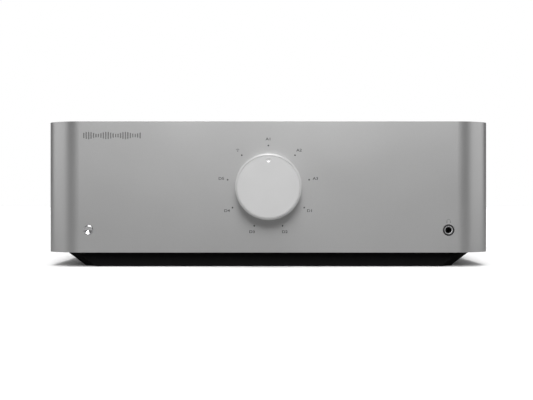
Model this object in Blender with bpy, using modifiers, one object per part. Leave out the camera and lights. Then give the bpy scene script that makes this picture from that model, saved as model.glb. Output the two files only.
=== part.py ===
"""Integrated amplifier with a wrap-round front, as an assembly of its separate pieces.

Metres, +Z up. The front faces -Y and +X is to the right of someone facing it. The origin is
the centre of the footprint, on the surface that the feet stand on.
"""
import math

import bmesh
import bpy
from mathutils import Vector

# ---- overall sizes
OVERALL_WIDTH = 0.460
OVERALL_HEIGHT = 0.150
OVERALL_DEPTH = 0.405
KNOB_STANDOFF = 0.028
TERMINAL_REACH = 0.022

# ---- clearances
FIT_GAP = 0.0003
RUN_GAP = 0.0003
AIR_GAP = 0.001
SERVICE_GAP = 0.006

# ---- casework
BASE_HEIGHT = 0.015
FOOT_HEIGHT = 0.002
WRAP_WALL = 0.005
CORNER_RADIUS = 0.035
CORNER_STEPS = 8
EDGE_BREAK = 0.0006
COVER_WALL = 0.004
COVER_INSET = 0.0005
REAR_WALL = 0.002
TRAY_WALL = 0.0015
TRAY_LIP = 0.012
PLINTH_WALL = 0.002
PLINTH_INSET = 0.023
PLINTH_TAPER = 0.013
PLINTH_CHAMFER = 0.012
FOOT_RADIUS = 0.016
FOOT_SPIGOT_RADIUS = 0.008
FOOT_SPIGOT_RISE = 0.001
FOOT_INSET = 0.040

# ---- heatsinks and the vents over and under them
HEATSINK_DEPTH = 0.032
HEATSINK_BASE = 0.006
HEATSINK_FRONT_GAP = 0.050
HEATSINK_REAR_GAP = 0.012
FIN_THICKNESS = 0.003
FIN_PITCH = 0.012
VENT_WIDTH = 0.0035
VENT_LENGTH = 0.022
VENT_EDGE = 0.006
FLOOR_VENT_WIDTH = 0.009
FLOOR_VENT_COUNT = 3
FLOOR_VENT_BRIDGE = 0.020

# ---- knob, selector ring and what carries them
KNOB_RADIUS = 0.0335
KNOB_CHAMFER = 0.0022
RING_BACK_GAP = 0.001
RING_THICKNESS = 0.010
KNOB_RING_GAP = 0.0006
RING_CHAMFER = 0.0004
DIMPLE_RADIUS = 0.0021
DIMPLE_DEPTH = 0.0009
DIMPLE_OFFSET = 0.0265
SHAFT_RADIUS = 0.004
SLEEVE_WALL = 0.0027
BUSH_WALL = 0.0027
BUSH_FLANGE_RADIUS = 0.015
BUSH_FLANGE = 0.003
SHAFT_GRIP = 0.012
SELECTOR_BODY_SIZE = 0.034
SELECTOR_BODY_DEPTH = 0.014
SLEEVE_GRIP = 0.009
VOLUME_BODY_SIZE = 0.028
VOLUME_BODY_DEPTH = 0.015

# ---- power button, its spring and switch
BUTTON_INSET = 0.0097
BUTTON_RISE = 0.0231
BUTTON_RADIUS = 0.0049
BUTTON_HOLE_GAP = 0.0007
BUTTON_PROUD = 0.0005
BUTTON_COLLAR = 0.0016
COLLAR_THICKNESS = 0.001
STEM_RADIUS = 0.002
STEM_ENTRY = 0.0045
SWITCH_SIZE = 0.014
SWITCH_RECESS = 0.007
SPRING_RADIUS = 0.0034
SPRING_WIRE_RADIUS = 0.0003
SPRING_TURNS = 4
SPRING_STEPS_PER_TURN = 8

# ---- headphone jack
JACK_INSET = 0.0095
JACK_BORE_RADIUS = 0.003175
JACK_BARREL_WALL = 0.001325
JACK_RING_WALL = 0.00085
JACK_RING_FLANGE = 0.0024
JACK_PROUD = 0.0004
JACK_BODY_SIZE = 0.016
JACK_BODY_DEPTH = 0.028

# ---- boards
BOARD_WALL = 0.0016
CONTROL_BOARD_EDGE = 0.008
CONTROL_BOARD_TOP_GAP = 0.0115
SUPPLY_BOARD_WIDTH = 0.200
BOARD_LIFT = 0.008
BOSS_RADIUS = 0.004
BOSS_INSET = 0.007
AMP_BOARD_MARGIN = 0.010

# ---- transformers and reservoir capacitors
TOROID_RADIUS = 0.0675
TOROID_BORE_RADIUS = 0.020
TOROID_ROUND = 0.012
TOROID_ROUND_STEPS = 3
TOROID_PAD = 0.003
CLAMP_RADIUS = 0.030
CLAMP_WALL = 0.003
BOLT_RADIUS = 0.004
BOLT_HEAD_RADIUS = 0.0065
BOLT_HEAD = 0.0055
CAPACITOR_RADIUS = 0.0165
CAPACITOR_HEIGHT = 0.060
CAPACITOR_PITCH = 0.045
CAPACITOR_COUNT = 4
CAPACITOR_ROUND = 0.0015

# ---- output transistors under their clamp bars
TRANSISTOR_THICKNESS = 0.005
TRANSISTOR_WIDTH = 0.016
TRANSISTOR_HEIGHT = 0.021
TRANSISTOR_BAR = 0.009
TRANSISTOR_COUNT = 4

# ---- rear sockets
ROW_LOW_SHARE = 0.34
ROW_HIGH_SHARE = 0.72
SOCKET_DEPTH = 0.014
PANEL_HOLE_GAP = 0.0004
POST_FLANGE_RADIUS = 0.0105
POST_FLANGE = 0.004
POST_BARREL_RADIUS = 0.006
POST_STUD_RADIUS = 0.003
POST_BORE_RADIUS = 0.0021
POST_BORE_DEPTH = 0.0133
POST_BLOCK_WALL = 0.006
POST_BLOCK_WIDTH = 0.020
POST_SIDE_CLEARANCE = 0.017
COLLAR_RADIUS = 0.007
COLLAR_WALL = 0.0015
CAP_RADIUS = 0.0085
BALANCED_SHARES = {"right": 0.50, "left": 0.78}
BALANCED_RADIUS = 0.0115
BALANCED_FLANGE_WIDTH = 0.026
BALANCED_FLANGE_HEIGHT = 0.031
BALANCED_FLANGE = 0.002
BALANCED_BORE_RADIUS = 0.0093
BALANCED_CORE_RADIUS = 0.0070
BALANCED_PIN_RADIUS = 0.0013
BALANCED_PIN_CIRCLE = 0.0040
PHONO_SHARES = (0.78, 0.56, 0.34)
PHONO_SPACING = 0.018
PHONO_RADIUS = 0.0042
PHONO_BORE_RADIUS = 0.0017
PHONO_REACH = 0.0095
PHONO_BLOCK_HEIGHT = 0.034
PHONO_BLOCK_EDGE = 0.008
DIGITAL_X = -0.005
DIGITAL_SPACING = 0.015
DIGITAL_SIZE = 0.0135
DIGITAL_PROUD = 0.0035
OPTICAL_MOUTH = 0.0085
OPTICAL_FLAP = 0.001
OPTICAL_FLAP_GAP = 0.0004
OPTICAL_FLAP_INSET = 0.0012
DATA_SHARE = -0.46
DATA_SIZE = 0.012
DATA_MOUTH = 0.0085
DATA_TONGUE_WIDTH = 0.00425
DATA_TONGUE_HEIGHT = 0.0028
DATA_TONGUE_REACH = 0.004
VIDEO_SHARE = -0.70
VIDEO_WIDTH = 0.0165
VIDEO_HEIGHT = 0.0075
VIDEO_WALL = 0.001
METAL_SOCKET_PROUD = 0.0008

# ---- mains inlet and rocker
INLET_SHARE = -0.44
INLET_WIDTH = 0.0275
INLET_HEIGHT = 0.0200
INLET_FLANGE_WIDTH = 0.034
INLET_FLANGE_HEIGHT = 0.0255
INLET_FLANGE = 0.0025
INLET_DEPTH = 0.022
INLET_WALL = 0.0015
PIN_WIDTH = 0.002
PIN_HEIGHT = 0.004
PIN_LENGTH = 0.0155
PIN_SPACING = 0.007
ROCKER_SHARE = -0.76
ROCKER_WIDTH = 0.0115
ROCKER_HEIGHT = 0.0205
ROCKER_RIM = 0.0018
ROCKER_FLANGE = 0.0025
ROCKER_DEPTH = 0.016
ROCKER_TILT = math.radians(10)
ROCKER_SIDE_GAP = 0.0006
ROCKER_PIVOT_DEPTH = 0.002

# ---- facets
FINE_STEPS = 48
ROUND_STEPS = 24
SMALL_STEPS = 16
TINY_STEPS = 10
CUTTER_PHASE = 0.37

# ---- places worked out from the sizes above
FRONT_Y = -OVERALL_DEPTH / 2 + KNOB_STANDOFF
REAR_Y = OVERALL_DEPTH / 2 - TERMINAL_REACH
FRONT_INNER_Y = FRONT_Y + WRAP_WALL
REAR_INNER_Y = REAR_Y - REAR_WALL
INNER_HALF_WIDTH = OVERALL_WIDTH / 2 - WRAP_WALL
INNER_RADIUS = CORNER_RADIUS - WRAP_WALL
PANEL_CENTRE_Z = (BASE_HEIGHT + OVERALL_HEIGHT) / 2
BUTTON_X = -(OVERALL_WIDTH / 2 - CORNER_RADIUS - BUTTON_INSET)
BUTTON_Z = BASE_HEIGHT + BUTTON_RISE
JACK_X = OVERALL_WIDTH / 2 - CORNER_RADIUS - JACK_INSET
JACK_BARREL_RADIUS = JACK_BORE_RADIUS + JACK_BARREL_WALL
JACK_RING_RADIUS = JACK_BARREL_RADIUS + FIT_GAP + JACK_RING_WALL
COVER_TOP_Z = OVERALL_HEIGHT - COVER_INSET
COVER_UNDER_Z = COVER_TOP_Z - COVER_WALL
TRAY_TOP_Z = BASE_HEIGHT + TRAY_WALL
SLEEVE_BORE_RADIUS = SHAFT_RADIUS + RUN_GAP
SLEEVE_RADIUS = SLEEVE_BORE_RADIUS + SLEEVE_WALL
BUSH_BORE_RADIUS = SLEEVE_RADIUS + RUN_GAP
BUSH_RADIUS = BUSH_BORE_RADIUS + BUSH_WALL
RING_TOP = RING_BACK_GAP + RING_THICKNESS
KNOB_BACK = RING_TOP + KNOB_RING_GAP
SELECTOR_FRONT_Y = FRONT_INNER_Y + FIT_GAP + BUSH_FLANGE + FIT_GAP
CONTROL_BOARD_Y = SELECTOR_FRONT_Y + SELECTOR_BODY_DEPTH + FIT_GAP
VOLUME_FRONT_Y = CONTROL_BOARD_Y + BOARD_WALL + FIT_GAP
VOLUME_REAR_Y = VOLUME_FRONT_Y + VOLUME_BODY_DEPTH
TOROID_Y = VOLUME_REAR_Y + SERVICE_GAP + TOROID_RADIUS
STACK_ROOM = COVER_UNDER_Z - TRAY_TOP_Z - SERVICE_GAP - BOLT_HEAD - CLAMP_WALL - TOROID_PAD
TOROID_HEIGHT = STACK_ROOM / 2 - 3 * FIT_GAP
HEATSINK_OUTER_X = INNER_HALF_WIDTH - FIT_GAP - TRAY_WALL - AIR_GAP
HEATSINK_INNER_X = HEATSINK_OUTER_X - HEATSINK_DEPTH
HEATSINK_FRONT_Y = FRONT_INNER_Y + HEATSINK_FRONT_GAP
HEATSINK_REAR_Y = REAR_INNER_Y - HEATSINK_REAR_GAP
TRANSISTOR_INNER_X = HEATSINK_INNER_X - FIT_GAP - TRANSISTOR_THICKNESS
AMP_BOARD_X = TRANSISTOR_INNER_X - FIT_GAP - BOARD_WALL / 2
POST_X = HEATSINK_INNER_X - POST_SIDE_CLEARANCE
PANEL_LOW_Z = BASE_HEIGHT + FIT_GAP
PANEL_HIGH_Z = COVER_UNDER_Z - FIT_GAP
ROW_LOW_Z = PANEL_LOW_Z + ROW_LOW_SHARE * (PANEL_HIGH_Z - PANEL_LOW_Z)
ROW_HIGH_Z = PANEL_LOW_Z + ROW_HIGH_SHARE * (PANEL_HIGH_Z - PANEL_LOW_Z)
INPUT_BOARD_Y = REAR_INNER_Y - SOCKET_DEPTH - FIT_GAP - BOARD_WALL
SUPPLY_FRONT_Y = TOROID_Y + TOROID_RADIUS + SERVICE_GAP
SUPPLY_REAR_Y = REAR_INNER_Y - INLET_DEPTH - SERVICE_GAP

TO_FRONT = (math.pi / 2, 0.0, 0.0)
TO_REAR = (-math.pi / 2, 0.0, 0.0)
UPRIGHT = (0.0, 0.0, 0.0)


# ---------------------------------------------------------------- scene and materials
def clear_scene():
    """Remove every object that the scene starts with."""
    for old in list(bpy.data.objects):
        bpy.data.objects.remove(old, do_unlink=True)


def new_collection(name):
    """Add a collection to the scene."""
    collection = bpy.data.collections.new(name)
    bpy.context.scene.collection.children.link(collection)
    return collection


clear_scene()
PARTS = new_collection("integrated_amplifier")
CUTTERS = new_collection("cutters")


def finish(name, colour, roughness, metallic):
    """Make a Principled material."""
    material = bpy.data.materials.new(name)
    material.use_nodes = True
    shader = material.node_tree.nodes["Principled BSDF"]
    shader.inputs["Base Color"].default_value = (*colour, 1.0)
    shader.inputs["Roughness"].default_value = roughness
    shader.inputs["Metallic"].default_value = metallic
    return material


ANODISED = finish("anodised_aluminium", (0.36, 0.36, 0.37), 0.38, 1.0)
KNOB_ALUMINIUM = finish("knob_aluminium", (0.62, 0.62, 0.63), 0.30, 1.0)
CHROME = finish("chrome", (0.80, 0.80, 0.80), 0.10, 1.0)
BLACK_METAL = finish("black_painted_metal", (0.012, 0.012, 0.013), 0.45, 0.0)
BLACK_PLASTIC = finish("black_plastic", (0.02, 0.02, 0.02), 0.50, 0.0)
RED_PLASTIC = finish("red_plastic", (0.45, 0.02, 0.02), 0.45, 0.0)
RUBBER = finish("rubber", (0.02, 0.02, 0.02), 0.80, 0.0)
STEEL = finish("zinc_steel", (0.50, 0.51, 0.52), 0.35, 1.0)
BRASS = finish("gold_plated_brass", (0.85, 0.62, 0.28), 0.25, 1.0)
CIRCUIT = finish("circuit_board", (0.01, 0.10, 0.04), 0.45, 0.0)
WINDING = finish("transformer_tape", (0.10, 0.03, 0.01), 0.40, 0.0)


# ---------------------------------------------------------------- modelling helpers
def place(name, mesh, material, location, rotation, collection=None):
    """Put a mesh in the assembly as one named object."""
    piece = bpy.data.objects.new(name, mesh)
    piece.location = location
    piece.rotation_euler = rotation
    if material is not None:
        piece.data.materials.append(material)
    (collection or PARTS).objects.link(piece)
    return piece


def box_mesh(name, size):
    """A box mesh, centred on its own origin."""
    mesh = bpy.data.meshes.new(name)
    form = bmesh.new()
    bmesh.ops.create_cube(form, size=1.0)
    bmesh.ops.scale(form, vec=Vector(size), verts=form.verts)
    form.to_mesh(mesh)
    form.free()
    return mesh


def add_box(name, size, centre, material):
    """A rectangular piece."""
    return place(name, box_mesh(name, size), material, centre, UPRIGHT)


def prism_mesh(name, outline, height):
    """A flat outline in XY, drawn anticlockwise, drawn up by a height."""
    mesh = bpy.data.meshes.new(name)
    form = bmesh.new()
    corners = [form.verts.new((x, y, 0.0)) for x, y in outline]
    base = form.faces.new(list(reversed(corners)))
    grown = bmesh.ops.extrude_face_region(form, geom=[base], use_keep_orig=True)
    top = [item for item in grown["geom"] if isinstance(item, bmesh.types.BMVert)]
    bmesh.ops.translate(form, vec=(0.0, 0.0, height), verts=top)
    bmesh.ops.recalc_face_normals(form, faces=form.faces)
    form.to_mesh(mesh)
    form.free()
    return mesh


def add_turned(name, profile, location, rotation, material, steps=ROUND_STEPS, closed=False, phase=0.0):
    """A turned piece: (radius, height) points from the top of its outer side downwards."""
    mesh = bpy.data.meshes.new(name)
    form = bmesh.new()
    along, across = math.cos(phase), math.sin(phase)
    points = [form.verts.new((radius * along, radius * across, height)) for radius, height in profile]
    pairs = list(zip(points, points[1:]))
    if closed:
        pairs.append((points[-1], points[0]))
    for start, end in pairs:
        form.edges.new((start, end))
    form.to_mesh(mesh)
    form.free()
    piece = place(name, mesh, material, location, rotation)
    turn = piece.modifiers.new("turn", 'SCREW')
    turn.axis = 'Z'
    turn.angle = math.tau
    turn.steps = steps
    turn.render_steps = steps
    turn.use_merge_vertices = True
    turn.merge_threshold = 1e-6
    turn.use_normal_calculate = False
    return piece


def rod_profile(radius, low, high):
    """The profile of a plain round bar between two heights."""
    return [(0.0, high), (radius, high), (radius, low), (0.0, low)]


def tube_profile(outer, inner, low, high):
    """The closed profile of a plain tube between two heights."""
    return [(outer, high), (outer, low), (inner, low), (inner, high)]


def make_cutter(cutter):
    """Keep a cutting shape out of the model itself."""
    cutter.hide_render = True
    cutter.display_type = 'WIRE'
    PARTS.objects.unlink(cutter)
    CUTTERS.objects.link(cutter)
    return cutter


def box_cutter(name, size, centre):
    """A rectangular cutting shape."""
    return make_cutter(add_box(name, size, centre, None))


def round_cutter(name, radius, length, centre, rotation, steps=ROUND_STEPS):
    """A round cutting shape, centred on a point along its own Z."""
    profile = rod_profile(radius, -length / 2, length / 2)
    phase = CUTTER_PHASE * math.tau / steps
    return make_cutter(add_turned(name, profile, centre, rotation, None, steps, False, phase))


def combine(piece, other, operation):
    """Cut a shape from a piece, or join it to the piece."""
    step = piece.modifiers.new(other.name, 'BOOLEAN')
    step.operation = operation
    step.solver = 'EXACT'
    step.object = other


def cut(piece, *cutters):
    """Cut each shape from a piece."""
    for cutter in cutters:
        combine(piece, cutter, 'DIFFERENCE')


def join(piece, *additions):
    """Join each shape to a piece, as one body."""
    for addition in additions:
        combine(piece, addition, 'UNION')


def smooth(piece):
    """Shade a round piece smooth, with its edges kept sharp."""
    piece.data.shade_smooth()
    piece.data.set_sharp_from_angle(angle=math.radians(35))


def front_arc(centre_x, centre_y, radius, start, end):
    """Points of a quarter round between two angles."""
    points = []
    for step in range(CORNER_STEPS + 1):
        angle = start + (end - start) * step / CORNER_STEPS
        points.append((centre_x + radius * math.cos(angle), centre_y + radius * math.sin(angle)))
    return points


def plan_outline(half_width, front_y, rear_y, radius):
    """A plan with square rear corners and round front corners, drawn anticlockwise."""
    left = front_arc(-half_width + radius, front_y + radius, radius, math.pi, 1.5 * math.pi)
    right = front_arc(half_width - radius, front_y + radius, radius, 1.5 * math.pi, math.tau)
    return [(-half_width, rear_y)] + left + right + [(half_width, rear_y)]


# ---------------------------------------------------------------- casework
def make_front_wrap():
    """The thick aluminium wrap: front and both sides in one curved piece."""
    outline = plan_outline(OVERALL_WIDTH / 2, FRONT_Y, REAR_Y, CORNER_RADIUS)
    mesh = bpy.data.meshes.new("front_wrap")
    form = bmesh.new()
    rails = []
    for height in (BASE_HEIGHT, OVERALL_HEIGHT):
        rails.append([form.verts.new((x, y, height)) for x, y in outline])
    for left in range(len(outline) - 1):
        right = left + 1
        form.faces.new((rails[0][left], rails[0][right], rails[1][right], rails[1][left]))
    form.to_mesh(mesh)
    form.free()
    wrap = place("front_wrap", mesh, ANODISED, (0.0, 0.0, 0.0), UPRIGHT)
    wall = wrap.modifiers.new("wall", 'SOLIDIFY')
    wall.thickness = WRAP_WALL
    wall.offset = -1.0
    wall.use_even_offset = True
    edges = wrap.modifiers.new("edge_break", 'BEVEL')
    edges.width = EDGE_BREAK
    edges.segments = 1
    edges.limit_method = 'ANGLE'
    edges.angle_limit = math.radians(60)
    holes = (
        ("spindle_hole", BUSH_RADIUS + FIT_GAP, 0.0, PANEL_CENTRE_Z),
        ("button_hole", BUTTON_RADIUS + BUTTON_HOLE_GAP, BUTTON_X, BUTTON_Z),
        ("jack_hole", JACK_RING_RADIUS + FIT_GAP, JACK_X, BUTTON_Z),
    )
    for name, radius, x, z in holes:
        centre = (x, FRONT_Y + WRAP_WALL / 2, z)
        cut(wrap, round_cutter(name, radius, 4 * WRAP_WALL, centre, TO_FRONT))


def make_tray():
    """The pressed steel floor of the case, with its lip, bosses and air slots."""
    half_width = INNER_HALF_WIDTH - FIT_GAP
    front_y = FRONT_INNER_Y + FIT_GAP
    rear_y = REAR_INNER_Y - FIT_GAP
    outline = plan_outline(half_width, front_y, rear_y, INNER_RADIUS - FIT_GAP)
    mesh = bpy.data.meshes.new("chassis_tray")
    form = bmesh.new()
    low = [form.verts.new((x, y, BASE_HEIGHT)) for x, y in outline]
    high = [form.verts.new((x, y, BASE_HEIGHT + TRAY_LIP)) for x, y in outline]
    form.faces.new(list(reversed(low)))
    for left in range(len(outline)):
        right = (left + 1) % len(outline)
        form.faces.new((low[left], low[right], high[right], high[left]))
    form.to_mesh(mesh)
    form.free()
    tray = place("chassis_tray", mesh, STEEL, (0.0, 0.0, 0.0), UPRIGHT)
    wall = tray.modifiers.new("wall", 'SOLIDIFY')
    wall.thickness = TRAY_WALL
    wall.offset = -1.0
    wall.use_even_offset = True
    boss_height = BOARD_LIFT - FIT_GAP + TRAY_WALL / 2
    for x in (-1, 1):
        for y in (SUPPLY_FRONT_Y + BOSS_INSET, SUPPLY_REAR_Y - BOSS_INSET):
            centre = (x * (SUPPLY_BOARD_WIDTH / 2 - BOSS_INSET), y, BASE_HEIGHT + TRAY_WALL / 2)
            profile = rod_profile(BOSS_RADIUS, 0.0, boss_height)
            boss = add_turned("boss", profile, centre, UPRIGHT, None, SMALL_STEPS)
            join(tray, make_cutter(boss))
    cut(tray, *floor_vents())
    bolt_hole = round_cutter("bolt_hole", BOLT_RADIUS + FIT_GAP, 4 * TRAY_WALL,
                             (0.0, TOROID_Y, BASE_HEIGHT), UPRIGHT, SMALL_STEPS)
    cut(tray, bolt_hole)


def floor_vents():
    """Long air slots under the heatsink fins, outside the plinth."""
    room = HEATSINK_REAR_Y - HEATSINK_FRONT_Y - 2 * FLOOR_VENT_BRIDGE
    length = (room - (FLOOR_VENT_COUNT - 1) * FLOOR_VENT_BRIDGE) / FLOOR_VENT_COUNT
    vents = []
    for side in (-1, 1):
        x = side * (INNER_HALF_WIDTH - FIT_GAP - TRAY_WALL - VENT_EDGE / 2 - FLOOR_VENT_WIDTH / 2)
        for number in range(FLOOR_VENT_COUNT):
            start = HEATSINK_FRONT_Y + FLOOR_VENT_BRIDGE
            y = start + length / 2 + number * (length + FLOOR_VENT_BRIDGE)
            size = (FLOOR_VENT_WIDTH, length, 4 * TRAY_WALL)
            vents.append(box_cutter("floor_vent", size, (x, y, BASE_HEIGHT)))
    return vents


def plinth_plan(half_width, front_y, rear_y, chamfer):
    """A rectangle with cut corners, drawn anticlockwise from the left of the front."""
    return [
        (-half_width + chamfer, front_y), (half_width - chamfer, front_y),
        (half_width, front_y + chamfer), (half_width, rear_y - chamfer),
        (half_width - chamfer, rear_y), (-half_width + chamfer, rear_y),
        (-half_width, rear_y - chamfer), (-half_width, front_y + chamfer),
    ]


def make_plinth():
    """The black base: an open pan whose sides slope inwards to the floor."""
    half_width = OVERALL_WIDTH / 2 - PLINTH_INSET
    front_y = FRONT_Y + PLINTH_INSET
    rear_y = REAR_Y - PLINTH_INSET
    top = plinth_plan(half_width, front_y, rear_y, PLINTH_CHAMFER)
    bottom = plinth_plan(half_width - PLINTH_TAPER, front_y + PLINTH_TAPER,
                         rear_y - PLINTH_TAPER, PLINTH_CHAMFER)
    mesh = bpy.data.meshes.new("plinth")
    form = bmesh.new()
    low = [form.verts.new((x, y, FOOT_HEIGHT)) for x, y in bottom]
    high = [form.verts.new((x, y, BASE_HEIGHT)) for x, y in top]
    form.faces.new(list(reversed(low)))
    for left in range(len(top)):
        right = (left + 1) % len(top)
        form.faces.new((low[left], low[right], high[right], high[left]))
    form.to_mesh(mesh)
    form.free()
    plinth = place("plinth", mesh, BLACK_METAL, (0.0, 0.0, 0.0), UPRIGHT)
    wall = plinth.modifiers.new("wall", 'SOLIDIFY')
    wall.thickness = PLINTH_WALL
    wall.offset = -1.0
    wall.use_even_offset = True
    level = (OVERALL_WIDTH, OVERALL_DEPTH, BASE_HEIGHT)
    cut(plinth, box_cutter("rim_level", level, (0.0, 0.0, 1.5 * BASE_HEIGHT - FIT_GAP)))
    foot_x = half_width - PLINTH_TAPER - FOOT_INSET
    spigot_top = FOOT_HEIGHT + PLINTH_WALL + FOOT_SPIGOT_RISE
    profile = [
        (0.0, spigot_top), (FOOT_SPIGOT_RADIUS, spigot_top),
        (FOOT_SPIGOT_RADIUS, FOOT_HEIGHT - FIT_GAP), (FOOT_RADIUS, FOOT_HEIGHT - FIT_GAP),
        (FOOT_RADIUS, 0.0), (0.0, 0.0),
    ]
    ends = {"front": front_y + PLINTH_TAPER + FOOT_INSET, "rear": rear_y - PLINTH_TAPER - FOOT_INSET}
    for end, y in ends.items():
        for side, x in (("left", -foot_x), ("right", foot_x)):
            smooth(add_turned(f"foot_{end}_{side}", profile, (x, y, 0.0), UPRIGHT, RUBBER))
            cut(plinth, round_cutter("foot_hole", FOOT_SPIGOT_RADIUS + FIT_GAP, 4 * PLINTH_WALL,
                                     (x, y, FOOT_HEIGHT), UPRIGHT))


def make_top_cover():
    """The flat lid, set in the wrap, with a cross slot over each gap between two fins."""
    outline = plan_outline(INNER_HALF_WIDTH - FIT_GAP, FRONT_INNER_Y + FIT_GAP, REAR_Y,
                           INNER_RADIUS - FIT_GAP)
    mesh = prism_mesh("top_cover", outline, COVER_WALL)
    cover = place("top_cover", mesh, ANODISED, (0.0, 0.0, COVER_UNDER_Z), UPRIGHT)
    slot = bmesh.new()
    size = Vector((VENT_LENGTH, VENT_WIDTH, 3 * COVER_WALL))
    centre_x = INNER_HALF_WIDTH - VENT_EDGE - VENT_LENGTH / 2
    for side in (-1, 1):
        for fin_y in fin_places()[:-1]:
            block = bmesh.ops.create_cube(slot, size=1.0)
            bmesh.ops.scale(slot, vec=size, verts=block["verts"])
            centre = (side * centre_x, fin_y + FIN_PITCH / 2, COVER_UNDER_Z + COVER_WALL / 2)
            bmesh.ops.translate(slot, vec=centre, verts=block["verts"])
    slots = bpy.data.meshes.new("cover_vents")
    slot.to_mesh(slots)
    slot.free()
    cutter = make_cutter(place("cover_vents", slots, None, (0.0, 0.0, 0.0), UPRIGHT))
    cut(cover, cutter)


def fin_places():
    """The middle of each heatsink fin, from front to rear."""
    room = HEATSINK_REAR_Y - HEATSINK_FRONT_Y - FIN_THICKNESS
    count = int(room / FIN_PITCH) + 1
    start = (HEATSINK_FRONT_Y + HEATSINK_REAR_Y - (count - 1) * FIN_PITCH) / 2
    return [start + number * FIN_PITCH for number in range(count)]


def make_heatsinks():
    """Two finned extrusions, one inside each side of the wrap."""
    places = fin_places()
    root_x = HEATSINK_INNER_X + HEATSINK_BASE
    outline = [(HEATSINK_INNER_X, places[-1] + FIN_THICKNESS / 2),
               (HEATSINK_INNER_X, places[0] - FIN_THICKNESS / 2)]
    for fin_y in places:
        front, rear = fin_y - FIN_THICKNESS / 2, fin_y + FIN_THICKNESS / 2
        outline += [(HEATSINK_OUTER_X, front), (HEATSINK_OUTER_X, rear)]
        if fin_y != places[-1]:
            outline += [(root_x, rear), (root_x, rear + FIN_PITCH - FIN_THICKNESS)]
    floor_z = TRAY_TOP_Z + FIT_GAP
    height = COVER_UNDER_Z - AIR_GAP - floor_z
    mirrored = [(-x, y) for x, y in reversed(outline)]
    for side, plan in (("left", mirrored), ("right", outline)):
        mesh = prism_mesh(f"heatsink_{side}", plan, height)
        place(f"heatsink_{side}", mesh, BLACK_METAL, (0.0, 0.0, floor_z), UPRIGHT)


# ---------------------------------------------------------------- volume and source controls
def make_controls():
    """The volume knob and selector ring, on two shafts one inside the other."""
    face = (0.0, FRONT_Y, PANEL_CENTRE_Z)
    selector_depth = SELECTOR_FRONT_Y - FRONT_Y
    volume_depth = VOLUME_FRONT_Y - FRONT_Y
    shaft_front = KNOB_BACK + SHAFT_GRIP

    knob_profile = [
        (0.0, KNOB_STANDOFF), (KNOB_RADIUS - KNOB_CHAMFER, KNOB_STANDOFF),
        (KNOB_RADIUS, KNOB_STANDOFF - KNOB_CHAMFER / 2), (KNOB_RADIUS, KNOB_BACK + RING_CHAMFER),
        (KNOB_RADIUS - RING_CHAMFER, KNOB_BACK), (SHAFT_RADIUS + FIT_GAP, KNOB_BACK),
        (SHAFT_RADIUS + FIT_GAP, shaft_front + FIT_GAP), (0.0, shaft_front + FIT_GAP),
    ]
    knob = add_turned("volume_knob", knob_profile, face, TO_FRONT, KNOB_ALUMINIUM, FINE_STEPS)
    smooth(knob)
    ball_radius = (DIMPLE_RADIUS ** 2 + DIMPLE_DEPTH ** 2) / (2 * DIMPLE_DEPTH)
    ball = bpy.data.meshes.new("dimple")
    form = bmesh.new()
    bmesh.ops.create_uvsphere(form, u_segments=SMALL_STEPS, v_segments=SMALL_STEPS, radius=ball_radius)
    form.to_mesh(ball)
    form.free()
    centre = (0.0, FRONT_Y - KNOB_STANDOFF - ball_radius + DIMPLE_DEPTH, PANEL_CENTRE_Z + DIMPLE_OFFSET)
    cut(knob, make_cutter(place("dimple", ball, None, centre, TO_FRONT)))

    ring_profile = [
        (KNOB_RADIUS - RING_CHAMFER, RING_TOP), (KNOB_RADIUS, RING_TOP - RING_CHAMFER),
        (KNOB_RADIUS, RING_BACK_GAP + RING_CHAMFER), (KNOB_RADIUS - RING_CHAMFER, RING_BACK_GAP),
        (SLEEVE_RADIUS + FIT_GAP, RING_BACK_GAP), (SLEEVE_RADIUS + FIT_GAP, RING_TOP),
    ]
    smooth(add_turned("selector_ring", ring_profile, face, TO_FRONT, KNOB_ALUMINIUM, FINE_STEPS, True))

    shaft = rod_profile(SHAFT_RADIUS, -(volume_depth + SHAFT_GRIP), shaft_front)
    smooth(add_turned("volume_shaft", shaft, face, TO_FRONT, STEEL))
    sleeve = tube_profile(SLEEVE_RADIUS, SLEEVE_BORE_RADIUS, -(selector_depth + SLEEVE_GRIP), RING_TOP)
    smooth(add_turned("selector_sleeve", sleeve, face, TO_FRONT, BRASS, ROUND_STEPS, True))
    flange_back = -(WRAP_WALL + FIT_GAP + BUSH_FLANGE)
    bush = [
        (BUSH_RADIUS, RING_BACK_GAP - RUN_GAP - FIT_GAP), (BUSH_RADIUS, -(WRAP_WALL + FIT_GAP)),
        (BUSH_FLANGE_RADIUS, -(WRAP_WALL + FIT_GAP)), (BUSH_FLANGE_RADIUS, flange_back),
        (BUSH_BORE_RADIUS, flange_back), (BUSH_BORE_RADIUS, RING_BACK_GAP - RUN_GAP - FIT_GAP),
    ]
    smooth(add_turned("spindle_bush", bush, face, TO_FRONT, BRASS, ROUND_STEPS, True))
    make_encoder("selector_encoder", SELECTOR_BODY_SIZE, SELECTOR_BODY_DEPTH, SELECTOR_FRONT_Y,
                 SLEEVE_RADIUS, SLEEVE_GRIP + FIT_GAP)
    make_encoder("volume_encoder", VOLUME_BODY_SIZE, VOLUME_BODY_DEPTH, VOLUME_FRONT_Y,
                 SHAFT_RADIUS, SHAFT_GRIP + FIT_GAP)
    selector = bpy.data.objects["selector_encoder"]
    middle_y = SELECTOR_FRONT_Y + SELECTOR_BODY_DEPTH / 2
    cut(selector, round_cutter("shaft_way", SLEEVE_BORE_RADIUS, 2 * SELECTOR_BODY_DEPTH,
                               (0.0, middle_y, PANEL_CENTRE_Z), TO_FRONT))


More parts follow.
